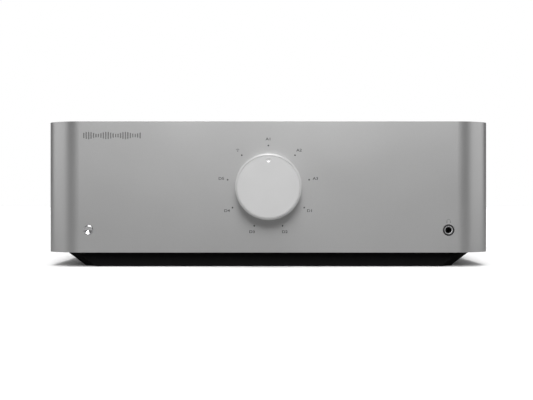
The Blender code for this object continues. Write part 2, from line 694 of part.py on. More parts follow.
def make_encoder(name, size, depth, front_y, bore_radius, bore_depth):
    """A square encoder body whose front bore takes the end of its shaft."""
    body = add_box(name, (size, depth, size), (0.0, front_y + depth / 2, PANEL_CENTRE_Z), BLACK_PLASTIC)
    cut(body, round_cutter(name + "_bore", bore_radius + RUN_GAP, 2 * bore_depth,
                           (0.0, front_y, PANEL_CENTRE_Z), TO_FRONT))


def make_control_board():
    """The upright board behind the front, from the power switch to just short of the jack."""
    left = BUTTON_X - CONTROL_BOARD_EDGE
    right = JACK_X - JACK_BODY_SIZE / 2 - SERVICE_GAP
    low = BUTTON_Z - CONTROL_BOARD_EDGE
    high = COVER_UNDER_Z - CONTROL_BOARD_TOP_GAP
    centre = ((left + right) / 2, CONTROL_BOARD_Y + BOARD_WALL / 2, (low + high) / 2)
    board = add_box("control_board", (right - left, BOARD_WALL, high - low), centre, CIRCUIT)
    cut(board, round_cutter("board_shaft_hole", SLEEVE_BORE_RADIUS + RUN_GAP, 4 * BOARD_WALL,
                            (0.0, centre[1], PANEL_CENTRE_Z), TO_FRONT))


def make_power_button():
    """The sprung round button, its return spring and the switch that it works."""
    face = (BUTTON_X, FRONT_Y, BUTTON_Z)
    collar_front = -(WRAP_WALL + FIT_GAP)
    collar_back = collar_front - COLLAR_THICKNESS
    switch_front = CONTROL_BOARD_Y - FIT_GAP - (SWITCH_RECESS + 2 * COLLAR_THICKNESS)
    stem_end = -(switch_front - FRONT_Y + STEM_ENTRY)
    profile = [
        (0.0, BUTTON_PROUD), (BUTTON_RADIUS, BUTTON_PROUD), (BUTTON_RADIUS, collar_front),
        (BUTTON_RADIUS + BUTTON_COLLAR, collar_front), (BUTTON_RADIUS + BUTTON_COLLAR, collar_back),
        (STEM_RADIUS, collar_back), (STEM_RADIUS, stem_end), (0.0, stem_end),
    ]
    smooth(add_turned("power_button", profile, face, TO_FRONT, KNOB_ALUMINIUM))
    depth = CONTROL_BOARD_Y - FIT_GAP - switch_front
    centre = (BUTTON_X, switch_front + depth / 2, BUTTON_Z)
    switch = add_box("power_switch", (SWITCH_SIZE, depth, SWITCH_SIZE), centre, BLACK_PLASTIC)
    cut(switch, round_cutter("stem_recess", STEM_RADIUS + RUN_GAP, 2 * SWITCH_RECESS,
                             (BUTTON_X, switch_front, BUTTON_Z), TO_FRONT, SMALL_STEPS))
    make_spring(FRONT_Y - collar_back + FIT_GAP, switch_front - FIT_GAP)


def make_spring(front_y, rear_y):
    """The button's return spring, coiled round its stem."""
    curve = bpy.data.curves.new("button_spring", 'CURVE')
    curve.dimensions = '3D'
    curve.bevel_depth = SPRING_WIRE_RADIUS
    curve.bevel_resolution = 0
    curve.use_fill_caps = True
    count = SPRING_TURNS * SPRING_STEPS_PER_TURN
    wire = curve.splines.new('POLY')
    wire.points.add(count)
    span = rear_y - front_y - 2 * SPRING_WIRE_RADIUS
    for step in range(count + 1):
        angle = math.tau * step / SPRING_STEPS_PER_TURN
        y = front_y + SPRING_WIRE_RADIUS + span * step / count
        x = BUTTON_X + SPRING_RADIUS * math.cos(angle)
        wire.points[step].co = (x, y, BUTTON_Z + SPRING_RADIUS * math.sin(angle), 1.0)
    spring = bpy.data.objects.new("button_spring", curve)
    curve.materials.append(STEEL)
    PARTS.objects.link(spring)


def make_headphone_jack():
    """The panel jack: a bright barrel in a black ring, and its body behind the front."""
    face = (JACK_X, FRONT_Y, BUTTON_Z)
    flange_front = -(WRAP_WALL + FIT_GAP)
    flange_back = flange_front - COLLAR_THICKNESS
    bore = JACK_BARREL_RADIUS + FIT_GAP
    ring = [
        (JACK_RING_RADIUS, JACK_PROUD), (JACK_RING_RADIUS, flange_front),
        (JACK_RING_RADIUS + JACK_RING_FLANGE, flange_front),
        (JACK_RING_RADIUS + JACK_RING_FLANGE, flange_back), (bore, flange_back), (bore, JACK_PROUD),
    ]
    smooth(add_turned("jack_ring", ring, face, TO_FRONT, BLACK_PLASTIC, ROUND_STEPS, True))
    body_front = flange_back - FIT_GAP
    body_y = FRONT_Y - body_front + JACK_BODY_DEPTH / 2
    size = (JACK_BODY_SIZE, JACK_BODY_DEPTH, JACK_BODY_SIZE)
    body = add_box("headphone_jack", size, (JACK_X, body_y, BUTTON_Z), CHROME)
    barrel = add_turned("jack_barrel", rod_profile(JACK_BARREL_RADIUS, body_front - COLLAR_THICKNESS,
                                                   JACK_PROUD / 2), face, TO_FRONT, None)
    join(body, make_cutter(barrel))
    bore_length = 2 * (JACK_BODY_DEPTH - body_front - 4 * COLLAR_THICKNESS)
    cut(body, round_cutter("jack_bore", JACK_BORE_RADIUS, bore_length, face, TO_FRONT, SMALL_STEPS))


# ---------------------------------------------------------------- power supply
def toroid_profile(low, high):
    """The rounded section of a taped toroidal winding, drawn from its outer top round."""
    corners = (
        (TOROID_RADIUS - TOROID_ROUND, high - TOROID_ROUND, 0.5 * math.pi, 0.0),
        (TOROID_RADIUS - TOROID_ROUND, low + TOROID_ROUND, 0.0, -0.5 * math.pi),
        (TOROID_BORE_RADIUS + TOROID_ROUND, low + TOROID_ROUND, -0.5 * math.pi, -math.pi),
        (TOROID_BORE_RADIUS + TOROID_ROUND, high - TOROID_ROUND, math.pi, 0.5 * math.pi),
    )
    points = []
    for radius, height, start, end in corners:
        for step in range(TOROID_ROUND_STEPS + 1):
            angle = start + (end - start) * step / TOROID_ROUND_STEPS
            points.append((radius + TOROID_ROUND * math.cos(angle), height + TOROID_ROUND * math.sin(angle)))
    return points


def make_transformers():
    """Two stacked toroids on a rubber pad, held down by a dished plate and one long bolt."""
    centre = (0.0, TOROID_Y, 0.0)
    level = TRAY_TOP_Z + FIT_GAP
    pad = tube_profile(TOROID_RADIUS, TOROID_BORE_RADIUS, level, level + TOROID_PAD)
    add_turned("transformer_pad", pad, centre, UPRIGHT, RUBBER, ROUND_STEPS, True)
    level += TOROID_PAD + FIT_GAP
    for name in ("toroid_lower", "toroid_upper"):
        profile = toroid_profile(level, level + TOROID_HEIGHT)
        smooth(add_turned(name, profile, centre, UPRIGHT, WINDING, ROUND_STEPS, True))
        level += TOROID_HEIGHT + FIT_GAP
    bore = BOLT_RADIUS + FIT_GAP
    add_turned("clamp_plate", tube_profile(CLAMP_RADIUS, bore, level, level + CLAMP_WALL),
               centre, UPRIGHT, STEEL, ROUND_STEPS, True)
    level += CLAMP_WALL + FIT_GAP
    bolt = [
        (0.0, level + BOLT_HEAD), (BOLT_HEAD_RADIUS, level + BOLT_HEAD), (BOLT_HEAD_RADIUS, level),
        (BOLT_RADIUS, level), (BOLT_RADIUS, BASE_HEIGHT + FIT_GAP), (0.0, BASE_HEIGHT + FIT_GAP),
    ]
    smooth(add_turned("clamp_bolt", bolt, centre, UPRIGHT, STEEL, SMALL_STEPS))


def make_supply_board():
    """The supply board on its four bosses, with a row of reservoir capacitors."""
    low = TRAY_TOP_Z + BOARD_LIFT
    size = (SUPPLY_BOARD_WIDTH, SUPPLY_REAR_Y - SUPPLY_FRONT_Y, BOARD_WALL)
    middle_y = (SUPPLY_FRONT_Y + SUPPLY_REAR_Y) / 2
    add_box("supply_board", size, (0.0, middle_y, low + BOARD_WALL / 2), CIRCUIT)
    base = low + BOARD_WALL + FIT_GAP
    top = base + CAPACITOR_HEIGHT
    profile = [
        (0.0, top), (CAPACITOR_RADIUS - CAPACITOR_ROUND, top), (CAPACITOR_RADIUS, top - CAPACITOR_ROUND),
        (CAPACITOR_RADIUS, base), (0.0, base),
    ]
    for number in range(CAPACITOR_COUNT):
        x = (number - (CAPACITOR_COUNT - 1) / 2) * CAPACITOR_PITCH
        can = add_turned(f"reservoir_capacitor_{number + 1}", profile, (x, middle_y, 0.0), UPRIGHT,
                         BLACK_PLASTIC)
        smooth(can)


# ---------------------------------------------------------------- amplifier channels
def make_amplifiers():
    """An upright board inside each heatsink, and a row of output transistors on its bar."""
    front_y = HEATSINK_FRONT_Y + AMP_BOARD_MARGIN
    rear_y = HEATSINK_REAR_Y - 2 * AMP_BOARD_MARGIN
    low, high = TRAY_TOP_Z + AMP_BOARD_MARGIN, COVER_UNDER_Z - AMP_BOARD_MARGIN
    middle_y, middle_z = (front_y + rear_y) / 2, (low + high) / 2
    for side, sign in (("left", -1), ("right", 1)):
        board = (BOARD_WALL, rear_y - front_y, high - low)
        add_box(f"amplifier_board_{side}", board, (sign * AMP_BOARD_X, middle_y, middle_z), CIRCUIT)
        x = sign * (TRANSISTOR_INNER_X + TRANSISTOR_THICKNESS / 2)
        pitch = (rear_y - front_y) / TRANSISTOR_COUNT
        bar = (TRANSISTOR_THICKNESS, pitch * (TRANSISTOR_COUNT - 1) + TRANSISTOR_WIDTH, TRANSISTOR_BAR)
        row = add_box(f"output_transistors_{side}", bar, (x, middle_y, middle_z), BLACK_PLASTIC)
        for number in range(TRANSISTOR_COUNT):
            y = middle_y + (number - (TRANSISTOR_COUNT - 1) / 2) * pitch
            size = (TRANSISTOR_THICKNESS, TRANSISTOR_WIDTH, TRANSISTOR_HEIGHT)
            case = make_cutter(add_box("transistor", size, (x, y, middle_z), None))
            join(row, case)


# ---------------------------------------------------------------- rear panel and sockets
def socket_x(share):
    """A socket's place, as a share of the way out to the speaker posts."""
    return share * POST_X


def digital_x(number):
    """The place of one socket in the digital block, numbered from the coaxial one."""
    return DIGITAL_X - number * DIGITAL_SPACING


def post_places():
    """Name, side, x and z of each speaker post."""
    places = []
    for side, sign in (("left", -1), ("right", 1)):
        for row, z in (("minus", ROW_LOW_Z), ("plus", ROW_HIGH_Z)):
            places.append((f"{side}_{row}", row, sign * POST_X, z))
    return places


def make_rear_panel():
    """The steel rear panel, with a hole for each socket that passes through it."""
    size = (2 * (INNER_HALF_WIDTH - FIT_GAP), REAR_WALL, PANEL_HIGH_Z - PANEL_LOW_Z)
    centre_y = REAR_Y - REAR_WALL / 2
    panel = add_box("rear_panel", size, (0.0, centre_y, (PANEL_LOW_Z + PANEL_HIGH_Z) / 2), BLACK_METAL)
    depth = 4 * REAR_WALL
    for name, _, x, z in post_places():
        cut(panel, round_cutter("hole_" + name, POST_BARREL_RADIUS + PANEL_HOLE_GAP, depth,
                                (x, centre_y, z), TO_REAR))
    for side, share in BALANCED_SHARES.items():
        cut(panel, round_cutter("hole_balanced_" + side, BALANCED_RADIUS + PANEL_HOLE_GAP, depth,
                                (socket_x(share), centre_y, ROW_LOW_Z), TO_REAR))
    gap = 2 * PANEL_HOLE_GAP
    windows = [("hole_inlet", INLET_WIDTH, INLET_HEIGHT, socket_x(INLET_SHARE), ROW_LOW_Z),
               ("hole_rocker", ROCKER_WIDTH + 2 * ROCKER_SIDE_GAP + 2 * ROCKER_RIM,
                ROCKER_HEIGHT + 2 * ROCKER_SIDE_GAP + 2 * ROCKER_RIM, socket_x(ROCKER_SHARE), ROW_LOW_Z),
               ("hole_digital", 3 * DIGITAL_SPACING, DIGITAL_SIZE, digital_x(1), ROW_HIGH_Z),
               ("hole_data", DATA_SIZE, DATA_SIZE, socket_x(DATA_SHARE), ROW_HIGH_Z),
               ("hole_video", VIDEO_WIDTH, VIDEO_HEIGHT, socket_x(VIDEO_SHARE), ROW_HIGH_Z)]
    for name, width, height, x, z in windows:
        cut(panel, box_cutter(name, (width + gap, depth, height + gap), (x, centre_y, z)))
    for share in PHONO_SHARES:
        for sign in (-1, 1):
            centre = (socket_x(share), centre_y, ROW_HIGH_Z + sign * PHONO_SPACING / 2)
            cut(panel, round_cutter("hole_phono", PHONO_RADIUS + PANEL_HOLE_GAP, depth, centre,
                                    TO_REAR, SMALL_STEPS))


def make_speaker_posts():
    """A moulded block of two threaded posts for each channel, with screw caps and collars."""
    block_front = REAR_INNER_Y - FIT_GAP - POST_BLOCK_WALL
    for side, sign in (("left", -1), ("right", 1)):
        height = ROW_HIGH_Z - ROW_LOW_Z + POST_BLOCK_WIDTH
        block = add_box(f"speaker_block_{side}", (POST_BLOCK_WIDTH, POST_BLOCK_WALL, height),
                        (sign * POST_X, block_front + POST_BLOCK_WALL / 2, (ROW_LOW_Z + ROW_HIGH_Z) / 2),
                        BRASS)
        for z in (ROW_LOW_Z, ROW_HIGH_Z):
            face = (sign * POST_X, REAR_Y, z)
            stud_top = TERMINAL_REACH - POST_STUD_RADIUS
            stud = [
                (0.0, stud_top), (POST_STUD_RADIUS, stud_top), (POST_STUD_RADIUS, POST_FLANGE),
                (POST_FLANGE_RADIUS, POST_FLANGE), (POST_FLANGE_RADIUS, FIT_GAP),
                (POST_BARREL_RADIUS, FIT_GAP), (POST_BARREL_RADIUS, -REAR_WALL - POST_BLOCK_WALL / 2),
                (0.0, -REAR_WALL - POST_BLOCK_WALL / 2),
            ]
            join(block, make_cutter(add_turned("stud", stud, face, TO_REAR, None, SMALL_STEPS)))
            centre = (sign * POST_X, REAR_Y + stud_top, z)
            cut(block, round_cutter("plug_bore", POST_BORE_RADIUS, 2 * POST_BORE_DEPTH, centre,
                                    TO_REAR, SMALL_STEPS))
    collar_low = POST_FLANGE + FIT_GAP
    collar_high = collar_low + COLLAR_WALL
    cap_low = collar_high + FIT_GAP
    bore = POST_STUD_RADIUS + RUN_GAP
    shoulder = TERMINAL_REACH - POST_STUD_RADIUS + FIT_GAP
    for name, row, x, z in post_places():
        face = (x, REAR_Y, z)
        collar = tube_profile(COLLAR_RADIUS, bore, collar_low, collar_high)
        add_turned(f"post_collar_{name}", collar, face, TO_REAR, BRASS, SMALL_STEPS, True)
        cap = [
            (CAP_RADIUS - 2 * RING_CHAMFER, TERMINAL_REACH), (CAP_RADIUS, TERMINAL_REACH - 2 * RING_CHAMFER),
            (CAP_RADIUS, cap_low), (bore, cap_low), (bore, shoulder), (POST_BORE_RADIUS, shoulder),
            (POST_BORE_RADIUS, TERMINAL_REACH),
        ]
        colour = RED_PLASTIC if row == "plus" else BLACK_PLASTIC
        smooth(add_turned(f"post_cap_{name}", cap, face, TO_REAR, colour, SMALL_STEPS, True))


def make_balanced_sockets():
    """Two round three-pole sockets with square flanges."""
    for side, share in BALANCED_SHARES.items():
        x = socket_x(share)
        flange_y = REAR_Y + FIT_GAP + BALANCED_FLANGE / 2
        size = (BALANCED_FLANGE_WIDTH, BALANCED_FLANGE, BALANCED_FLANGE_HEIGHT)
        socket = add_box(f"balanced_socket_{side}", size, (x, flange_y, ROW_LOW_Z), BLACK_METAL)
        face = (x, REAR_Y + FIT_GAP + BALANCED_FLANGE, ROW_LOW_Z)
        low = -(BALANCED_FLANGE + FIT_GAP + REAR_WALL + SOCKET_DEPTH)
        shell = rod_profile(BALANCED_RADIUS, low, -BALANCED_FLANGE / 2)
        join(socket, make_cutter(add_turned("socket_shell", shell, face, TO_REAR, None)))
        groove_low = low + BALANCED_FLANGE
        groove = tube_profile(BALANCED_BORE_RADIUS, BALANCED_CORE_RADIUS, groove_low, BALANCED_FLANGE)
        cut(socket, make_cutter(add_turned("socket_groove", groove, face, TO_REAR, None, ROUND_STEPS, True)))
        for pole in range(3):
            angle = math.radians(-90 + 90 * pole)
            centre = (x + BALANCED_PIN_CIRCLE * math.sin(angle), face[1],
                      ROW_LOW_Z - BALANCED_PIN_CIRCLE * math.cos(angle))
            cut(socket, round_cutter("pole", BALANCED_PIN_RADIUS, -2 * groove_low, centre,
                                     TO_REAR, TINY_STEPS))


def make_phono_block():
    """One moulded block with three pairs of phono sockets."""
    xs = [socket_x(share) for share in PHONO_SHARES]
    width = max(xs) - min(xs) + 2 * PHONO_BLOCK_EDGE
    depth = SOCKET_DEPTH - 2 * FIT_GAP
    block_y = REAR_INNER_Y - FIT_GAP - depth / 2
    block = add_box("phono_block", (width, depth, PHONO_BLOCK_HEIGHT),
                    ((max(xs) + min(xs)) / 2, block_y, ROW_HIGH_Z), BLACK_PLASTIC)
    for x in xs:
        for sign in (-1, 1):
            face = (x, REAR_Y, ROW_HIGH_Z + sign * PHONO_SPACING / 2)
            barrel = rod_profile(PHONO_RADIUS, -2 * REAR_WALL, PHONO_REACH)
            join(block, make_cutter(add_turned("phono_barrel", barrel, face, TO_REAR, None, SMALL_STEPS)))
            cut(block, round_cutter("phono_bore", PHONO_BORE_RADIUS, 2 * PHONO_REACH,
                                    (face[0], REAR_Y + PHONO_REACH, face[2]), TO_REAR, TINY_STEPS))


def make_digital_block():
    """A coaxial socket and two optical sockets with spring flaps, in one moulding."""
    depth = SOCKET_DEPTH - 2 * FIT_GAP + REAR_WALL + DIGITAL_PROUD
    centre_y = REAR_Y + DIGITAL_PROUD - depth / 2
    block = add_box("digital_block", (3 * DIGITAL_SPACING, depth, DIGITAL_SIZE),
                    (digital_x(1), centre_y, ROW_HIGH_Z), BLACK_PLASTIC)
    face = (digital_x(0), REAR_Y, ROW_HIGH_Z)
    barrel = rod_profile(PHONO_RADIUS, 0.0, PHONO_REACH)
    join(block, make_cutter(add_turned("coaxial_barrel", barrel, face, TO_REAR, None, SMALL_STEPS)))
    cut(block, round_cutter("coaxial_bore", PHONO_BORE_RADIUS, 2 * PHONO_REACH,
                            (face[0], REAR_Y + PHONO_REACH, face[2]), TO_REAR, TINY_STEPS))
    mouth_y = REAR_Y + DIGITAL_PROUD
    mouth_depth = OPTICAL_MOUTH + 4 * OPTICAL_FLAP
    for number in (1, 2):
        x = digital_x(number)
        cut(block, box_cutter("optical_mouth", (OPTICAL_MOUTH, 2 * mouth_depth, OPTICAL_MOUTH),
                              (x, mouth_y, ROW_HIGH_Z)))
        side = OPTICAL_MOUTH - 2 * OPTICAL_FLAP_GAP
        add_box(f"optical_flap_{number}", (side, OPTICAL_FLAP, side),
                (x, mouth_y - OPTICAL_FLAP_INSET, ROW_HIGH_Z), BLACK_PLASTIC)


def make_metal_sockets():
    """The square data socket and the flat audio return socket, in plated shells."""
    depth = SOCKET_DEPTH - 2 * FIT_GAP + REAR_WALL + METAL_SOCKET_PROUD
    centre_y = REAR_Y + METAL_SOCKET_PROUD - depth / 2
    face_y = REAR_Y + METAL_SOCKET_PROUD
    x = socket_x(DATA_SHARE)
    data = add_box("data_socket", (DATA_SIZE, depth, DATA_SIZE), (x, centre_y, ROW_HIGH_Z), STEEL)
    cut(data, box_cutter("data_mouth", (DATA_MOUTH, depth, DATA_MOUTH), (x, face_y, ROW_HIGH_Z)))
    root_y = face_y - depth / 2 - DATA_TONGUE_REACH / 2
    tongue = (DATA_TONGUE_WIDTH, 1.5 * DATA_TONGUE_REACH, DATA_TONGUE_HEIGHT)
    centre = (x, root_y + tongue[1] / 2, ROW_HIGH_Z)
    join(data, make_cutter(add_box("data_tongue", tongue, centre, None)))
    x = socket_x(VIDEO_SHARE)
    size = (VIDEO_WIDTH, depth, VIDEO_HEIGHT)
    video = add_box("audio_return_socket", size, (x, centre_y, ROW_HIGH_Z), STEEL)
    mouth = (VIDEO_WIDTH - 2 * VIDEO_WALL, depth, VIDEO_HEIGHT - 2 * VIDEO_WALL)
    cut(video, box_cutter("video_mouth", mouth, (x, face_y, ROW_HIGH_Z)))


def make_input_board():
    """The upright board behind the sockets, stepped clear of the mains inlet."""
    left = socket_x(VIDEO_SHARE) - VIDEO_WIDTH / 2 - 2 * AIR_GAP
    right = max(socket_x(share) for share in PHONO_SHARES) + PHONO_BLOCK_EDGE + AIR_GAP
    step = socket_x(BALANCED_SHARES["right"]) - BALANCED_FLANGE_WIDTH / 2 - AIR_GAP
    high = ROW_HIGH_Z + PHONO_BLOCK_HEIGHT / 2 + AIR_GAP
    mid = ROW_HIGH_Z - PHONO_BLOCK_HEIGHT / 2 - AIR_GAP
    low = ROW_LOW_Z - BALANCED_RADIUS - 2 * AIR_GAP
    outline = [(left, -high), (right, -high), (right, -low), (step, -low), (step, -mid), (left, -mid)]
    mesh = prism_mesh("input_board", outline, BOARD_WALL)
    place("input_board", mesh, CIRCUIT, (0.0, INPUT_BOARD_Y, 0.0), TO_REAR)


def make_mains_inlet():
    """The three-pin mains inlet, flanged on the outside of the rear panel."""
    x = socket_x(INLET_SHARE)
    flange_y = REAR_Y + FIT_GAP + INLET_FLANGE / 2
    inlet = add_box("mains_inlet", (INLET_FLANGE_WIDTH, INLET_FLANGE, INLET_FLANGE_HEIGHT),
                    (x, flange_y, ROW_LOW_Z), BLACK_PLASTIC)
    face_y = REAR_Y + FIT_GAP + INLET_FLANGE
    body_rear = face_y - INLET_FLANGE / 2
    body_front = REAR_INNER_Y - INLET_DEPTH
    body = add_box("inlet_body", (INLET_WIDTH, body_rear - body_front, INLET_HEIGHT),
                   (x, (body_rear + body_front) / 2, ROW_LOW_Z), None)
    join(inlet, make_cutter(body))
    floor_y = body_front + 2 * INLET_WALL
    mouth = (INLET_WIDTH - 2 * INLET_WALL, 2 * (face_y - floor_y), INLET_HEIGHT - 2 * INLET_WALL)
    cut(inlet, box_cutter("inlet_mouth", mouth, (x, face_y, ROW_LOW_Z)))
    for column, lift in ((-1, -1), (0, 1), (1, -1)):
        centre = (x + column * PIN_SPACING, floor_y + (PIN_LENGTH - INLET_WALL) / 2,
                  ROW_LOW_Z + lift * PIN_HEIGHT / 2)
        size = (PIN_WIDTH, PIN_LENGTH + INLET_WALL, PIN_HEIGHT)
        join(inlet, make_cutter(add_box("inlet_pin", size, centre, None)))


def make_mains_rocker():
    """The mains switch: a rocker on its pivot line, in a flanged housing."""
    x = socket_x(ROCKER_SHARE)
    inner_width = ROCKER_WIDTH + 2 * ROCKER_SIDE_GAP
    inner_height = ROCKER_HEIGHT + 2 * ROCKER_SIDE_GAP
    body_width, body_height = inner_width + 2 * ROCKER_RIM, inner_height + 2 * ROCKER_RIM
    flange = (body_width + 2 * ROCKER_RIM, ROCKER_FLANGE, body_height + 2 * ROCKER_RIM)
    housing = add_box("rocker_housing", flange, (x, REAR_Y + FIT_GAP + ROCKER_FLANGE / 2, ROW_LOW_Z),
                      BLACK_PLASTIC)
    face_y = REAR_Y + FIT_GAP + ROCKER_FLANGE
    body_front = REAR_INNER_Y - ROCKER_DEPTH
    body_rear = face_y - ROCKER_FLANGE / 2
    body = add_box("rocker_body", (body_width, body_rear - body_front, body_height),
                   (x, (body_front + body_rear) / 2, ROW_LOW_Z), None)
    join(housing, make_cutter(body))
    floor_y = body_front + 2 * ROCKER_RIM
    mouth = (inner_width, 2 * (face_y - floor_y), inner_height)
    cut(housing, box_cutter("rocker_mouth", mouth, (x, face_y, ROW_LOW_Z)))
    reach = ROCKER_HEIGHT / 2
    rise = reach * math.tan(ROCKER_TILT)
    keel = reach * math.cos(ROCKER_TILT) / 2
    side = [(-reach, 0.0), (-keel, -keel), (keel, -keel), (reach, 0.0), (reach, rise), (0.0, rise / 2),
            (-reach, rise)]
    outline = [(z, y) for z, y in side]
    mesh = prism_mesh("mains_rocker", outline, ROCKER_WIDTH)
    for vertex in mesh.vertices:
        height, out, across = vertex.co
        vertex.co = (across - ROCKER_WIDTH / 2, out, height)
    form = bmesh.new()
    form.from_mesh(mesh)
    bmesh.ops.recalc_face_normals(form, faces=form.faces)
    form.to_mesh(mesh)
    form.free()
    pivot_y = face_y - ROCKER_PIVOT_DEPTH
    place("mains_rocker", mesh, BLACK_PLASTIC, (x, pivot_y, ROW_LOW_Z), (ROCKER_TILT, 0.0, 0.0))


def build_amplifier():
    """Build every piece, from the case inwards."""
    make_front_wrap()
    make_tray()
    make_plinth()
    make_top_cover()
    make_heatsinks()
    make_controls()
    make_control_board()
    make_power_button()
    make_headphone_jack()
    make_transformers()
    make_supply_board()
    make_amplifiers()
    make_rear_panel()
    make_speaker_posts()
    make_balanced_sockets()
    make_phono_block()
    make_digital_block()
    make_metal_sockets()
    make_input_board()
    make_mains_inlet()
    make_mains_rocker()


build_amplifier()
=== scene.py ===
"""Looks of an integrated amplifier: casework, controls, sockets, finishes, light and camera."""
from __future__ import annotations

import logging
import math
from collections.abc import Iterable, Sequence
from dataclasses import dataclass, field
from enum import Enum

import bmesh
import bpy
from bmesh.types import BMesh
from bpy.types import ID, Material, Mesh, Node, NodeSocket, NodeTree, Object
from mathutils import Matrix, Vector


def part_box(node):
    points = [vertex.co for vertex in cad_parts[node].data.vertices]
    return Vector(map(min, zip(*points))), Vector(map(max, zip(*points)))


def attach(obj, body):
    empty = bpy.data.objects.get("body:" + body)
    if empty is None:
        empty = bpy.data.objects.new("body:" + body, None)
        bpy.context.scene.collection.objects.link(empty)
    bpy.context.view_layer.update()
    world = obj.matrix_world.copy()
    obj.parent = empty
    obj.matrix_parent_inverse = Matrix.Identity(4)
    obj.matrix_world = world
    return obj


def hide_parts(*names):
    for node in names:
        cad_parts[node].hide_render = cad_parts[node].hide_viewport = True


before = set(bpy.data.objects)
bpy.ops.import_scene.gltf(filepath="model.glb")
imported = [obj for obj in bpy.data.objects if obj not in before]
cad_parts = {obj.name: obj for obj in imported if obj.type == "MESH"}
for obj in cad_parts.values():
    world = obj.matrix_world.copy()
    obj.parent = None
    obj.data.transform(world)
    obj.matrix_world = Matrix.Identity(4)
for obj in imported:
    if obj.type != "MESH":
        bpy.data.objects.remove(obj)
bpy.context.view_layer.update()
LOG = logging.getLogger("amplifier")
MM = 0.001
WELD = 0.0001 * MM  # points nearer than this are one
CRISP_ANGLE = 32.0  # edges steeper than this many degrees stay sharp
CUT_ANGLE = 28.0  # the same on the case, whose openings meet broad faces
CORNER_SHARE = 0.49  # how much of a side a rounded corner may take
LARGE_FLAT = 2e-3  # a plane with more square metres than this is shaded flat
NORMAL_STEPS = 200  # how finely two facings are told apart
PLANE_STEP = 0.1 * MM  # how finely two parallel planes are told apart
LETTER_WEIGHT = 0.022  # how far a letter's strokes swell, as a share of its height
LETTER_WIDTH = 1.25  # how much wider than the plain face the letters are
WEAR_REACH = 0.5 * MM  # how far from an edge its wear goes
CHASSIS = "chassis"
SIDES = ("left", "right")
ROWS = ("minus", "plus")

Point = tuple[float, float]
Colour = tuple[float, float, float]


class Facing(Enum):
    """Which way a piece's own +Z looks once it is in place, as its turn about X in degrees."""

    FRONT = 90.0
    REAR = -90.0

    def turn(self) -> Matrix:
        """Return the rotation that points +Z this way."""
        return Matrix.Rotation(math.radians(self.value), 4, 'X')

    def at(self, x: float, y: float, z: float) -> Matrix:
        """Return the transform that puts a piece at a point, looking this way."""
        return Matrix.Translation((x, y, z)) @ self.turn()


class Joining(Enum):
    """How one solid is combined with another."""

    CUT = "DIFFERENCE"
    ADD = "UNION"


# ---------------------------------------------------------------- places taken from the frame
@dataclass(frozen=True)
class Extent:
    """The box that a CAD node fills."""

    low: Vector
    high: Vector

    @classmethod
    def of(cls, node: str) -> Extent:
        """Read a node's box from the frame."""
        low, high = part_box(node)
        return cls(Vector(low), Vector(high))

    @property
    def size(self) -> Vector:
        """The box's three sides."""
        return self.high - self.low

    @property
    def centre(self) -> Vector:
        """The middle of the box."""
        return (self.low + self.high) / 2


# ---------------------------------------------------------------- mesh work
def pane(half_x: float, half_y: float, radius: float = 0.0, steps: int = 4) -> list[Point]:
    """Return a rectangle about the origin, with round corners.

    Args:
        half_x: Half of its width.
        half_y: Half of its height.
        radius: The radius of its corners; 0 keeps them sharp.
        steps: Segments in each corner.

    Returns:
        The outline's points.
    """
    corners = [Vector((x * half_x, y * half_y)) for x, y in ((-1, -1), (1, -1), (1, 1), (-1, 1))]
    if radius <= 0:
        return [(corner.x, corner.y) for corner in corners]
    outline: list[Point] = []
    for index, corner in enumerate(corners):
        before = corners[index - 1] - corner
        after = corners[(index + 1) % len(corners)] - corner
        reach = min(radius, before.length * CORNER_SHARE, after.length * CORNER_SHARE)
        start, end = corner + before.normalized() * reach, corner + after.normalized() * reach
        for step in range(steps + 1):
            share = step / steps
            blend = start.lerp(corner, share).lerp(corner.lerp(end, share), share)
            outline.append((blend.x, blend.y))
    return outline


def finished(form: BMesh, name: str, sharp: float = CRISP_ANGLE) -> Mesh:
    """Turn a bmesh into a mesh with outward normals and clean smooth shading.

    Args:
        form: The shape, freed here.
        name: The new mesh's name.
        sharp: Edges steeper than this many degrees stay crisp.

    Returns:
        The mesh.
    """
    bmesh.ops.remove_doubles(form, verts=form.verts, dist=WELD)
    bmesh.ops.recalc_face_normals(form, faces=form.faces)
    mesh = bpy.data.meshes.new(name)
    form.to_mesh(mesh)
    form.free()
    mesh.shade_smooth()
    mesh.set_sharp_from_angle(angle=math.radians(sharp))
    return mesh


def turned(name: str, profile: Sequence[Point], steps: int = 64, closed: bool = False) -> Mesh:
    """Turn a (radius, height) profile round +Z.

    Args:
        name: The mesh's name.
        profile: The outline; a radius of 0 is a pole.
        steps: Facets round the axis.
        closed: Whether the profile is a closed loop, as on a tube.

    Returns:
        The turned mesh.
    """
    form = bmesh.new()
    rings = []
    for radius, height in profile:
        if radius < WELD:
            rings.append([form.verts.new((0.0, 0.0, height))] * steps)
            continue
        ring = []
        for step in range(steps):
            angle = math.tau * step / steps
            ring.append(form.verts.new((radius * math.cos(angle), radius * math.sin(angle),
                    height)))
        rings.append(ring)
    pairs = list(zip(rings, rings[1:]))
    if closed:
        pairs.append((rings[-1], rings[0]))
    for upper, lower in pairs:
        for step in range(steps):
            beside = (step + 1) % steps
            corners = [upper[step], upper[beside], lower[beside], lower[step]]
            unique = list(dict.fromkeys(corners))
            if len(unique) > 2:
                form.faces.new(unique)
    return finished(form, name)


def plug(name: str, radius: float, low: float, high: float, steps: int) -> Mesh:
    """Return a plain round rod along Z, between two heights."""
    return turned(name, [(0.0, high), (radius, high), (radius, low), (0.0, low)], steps)


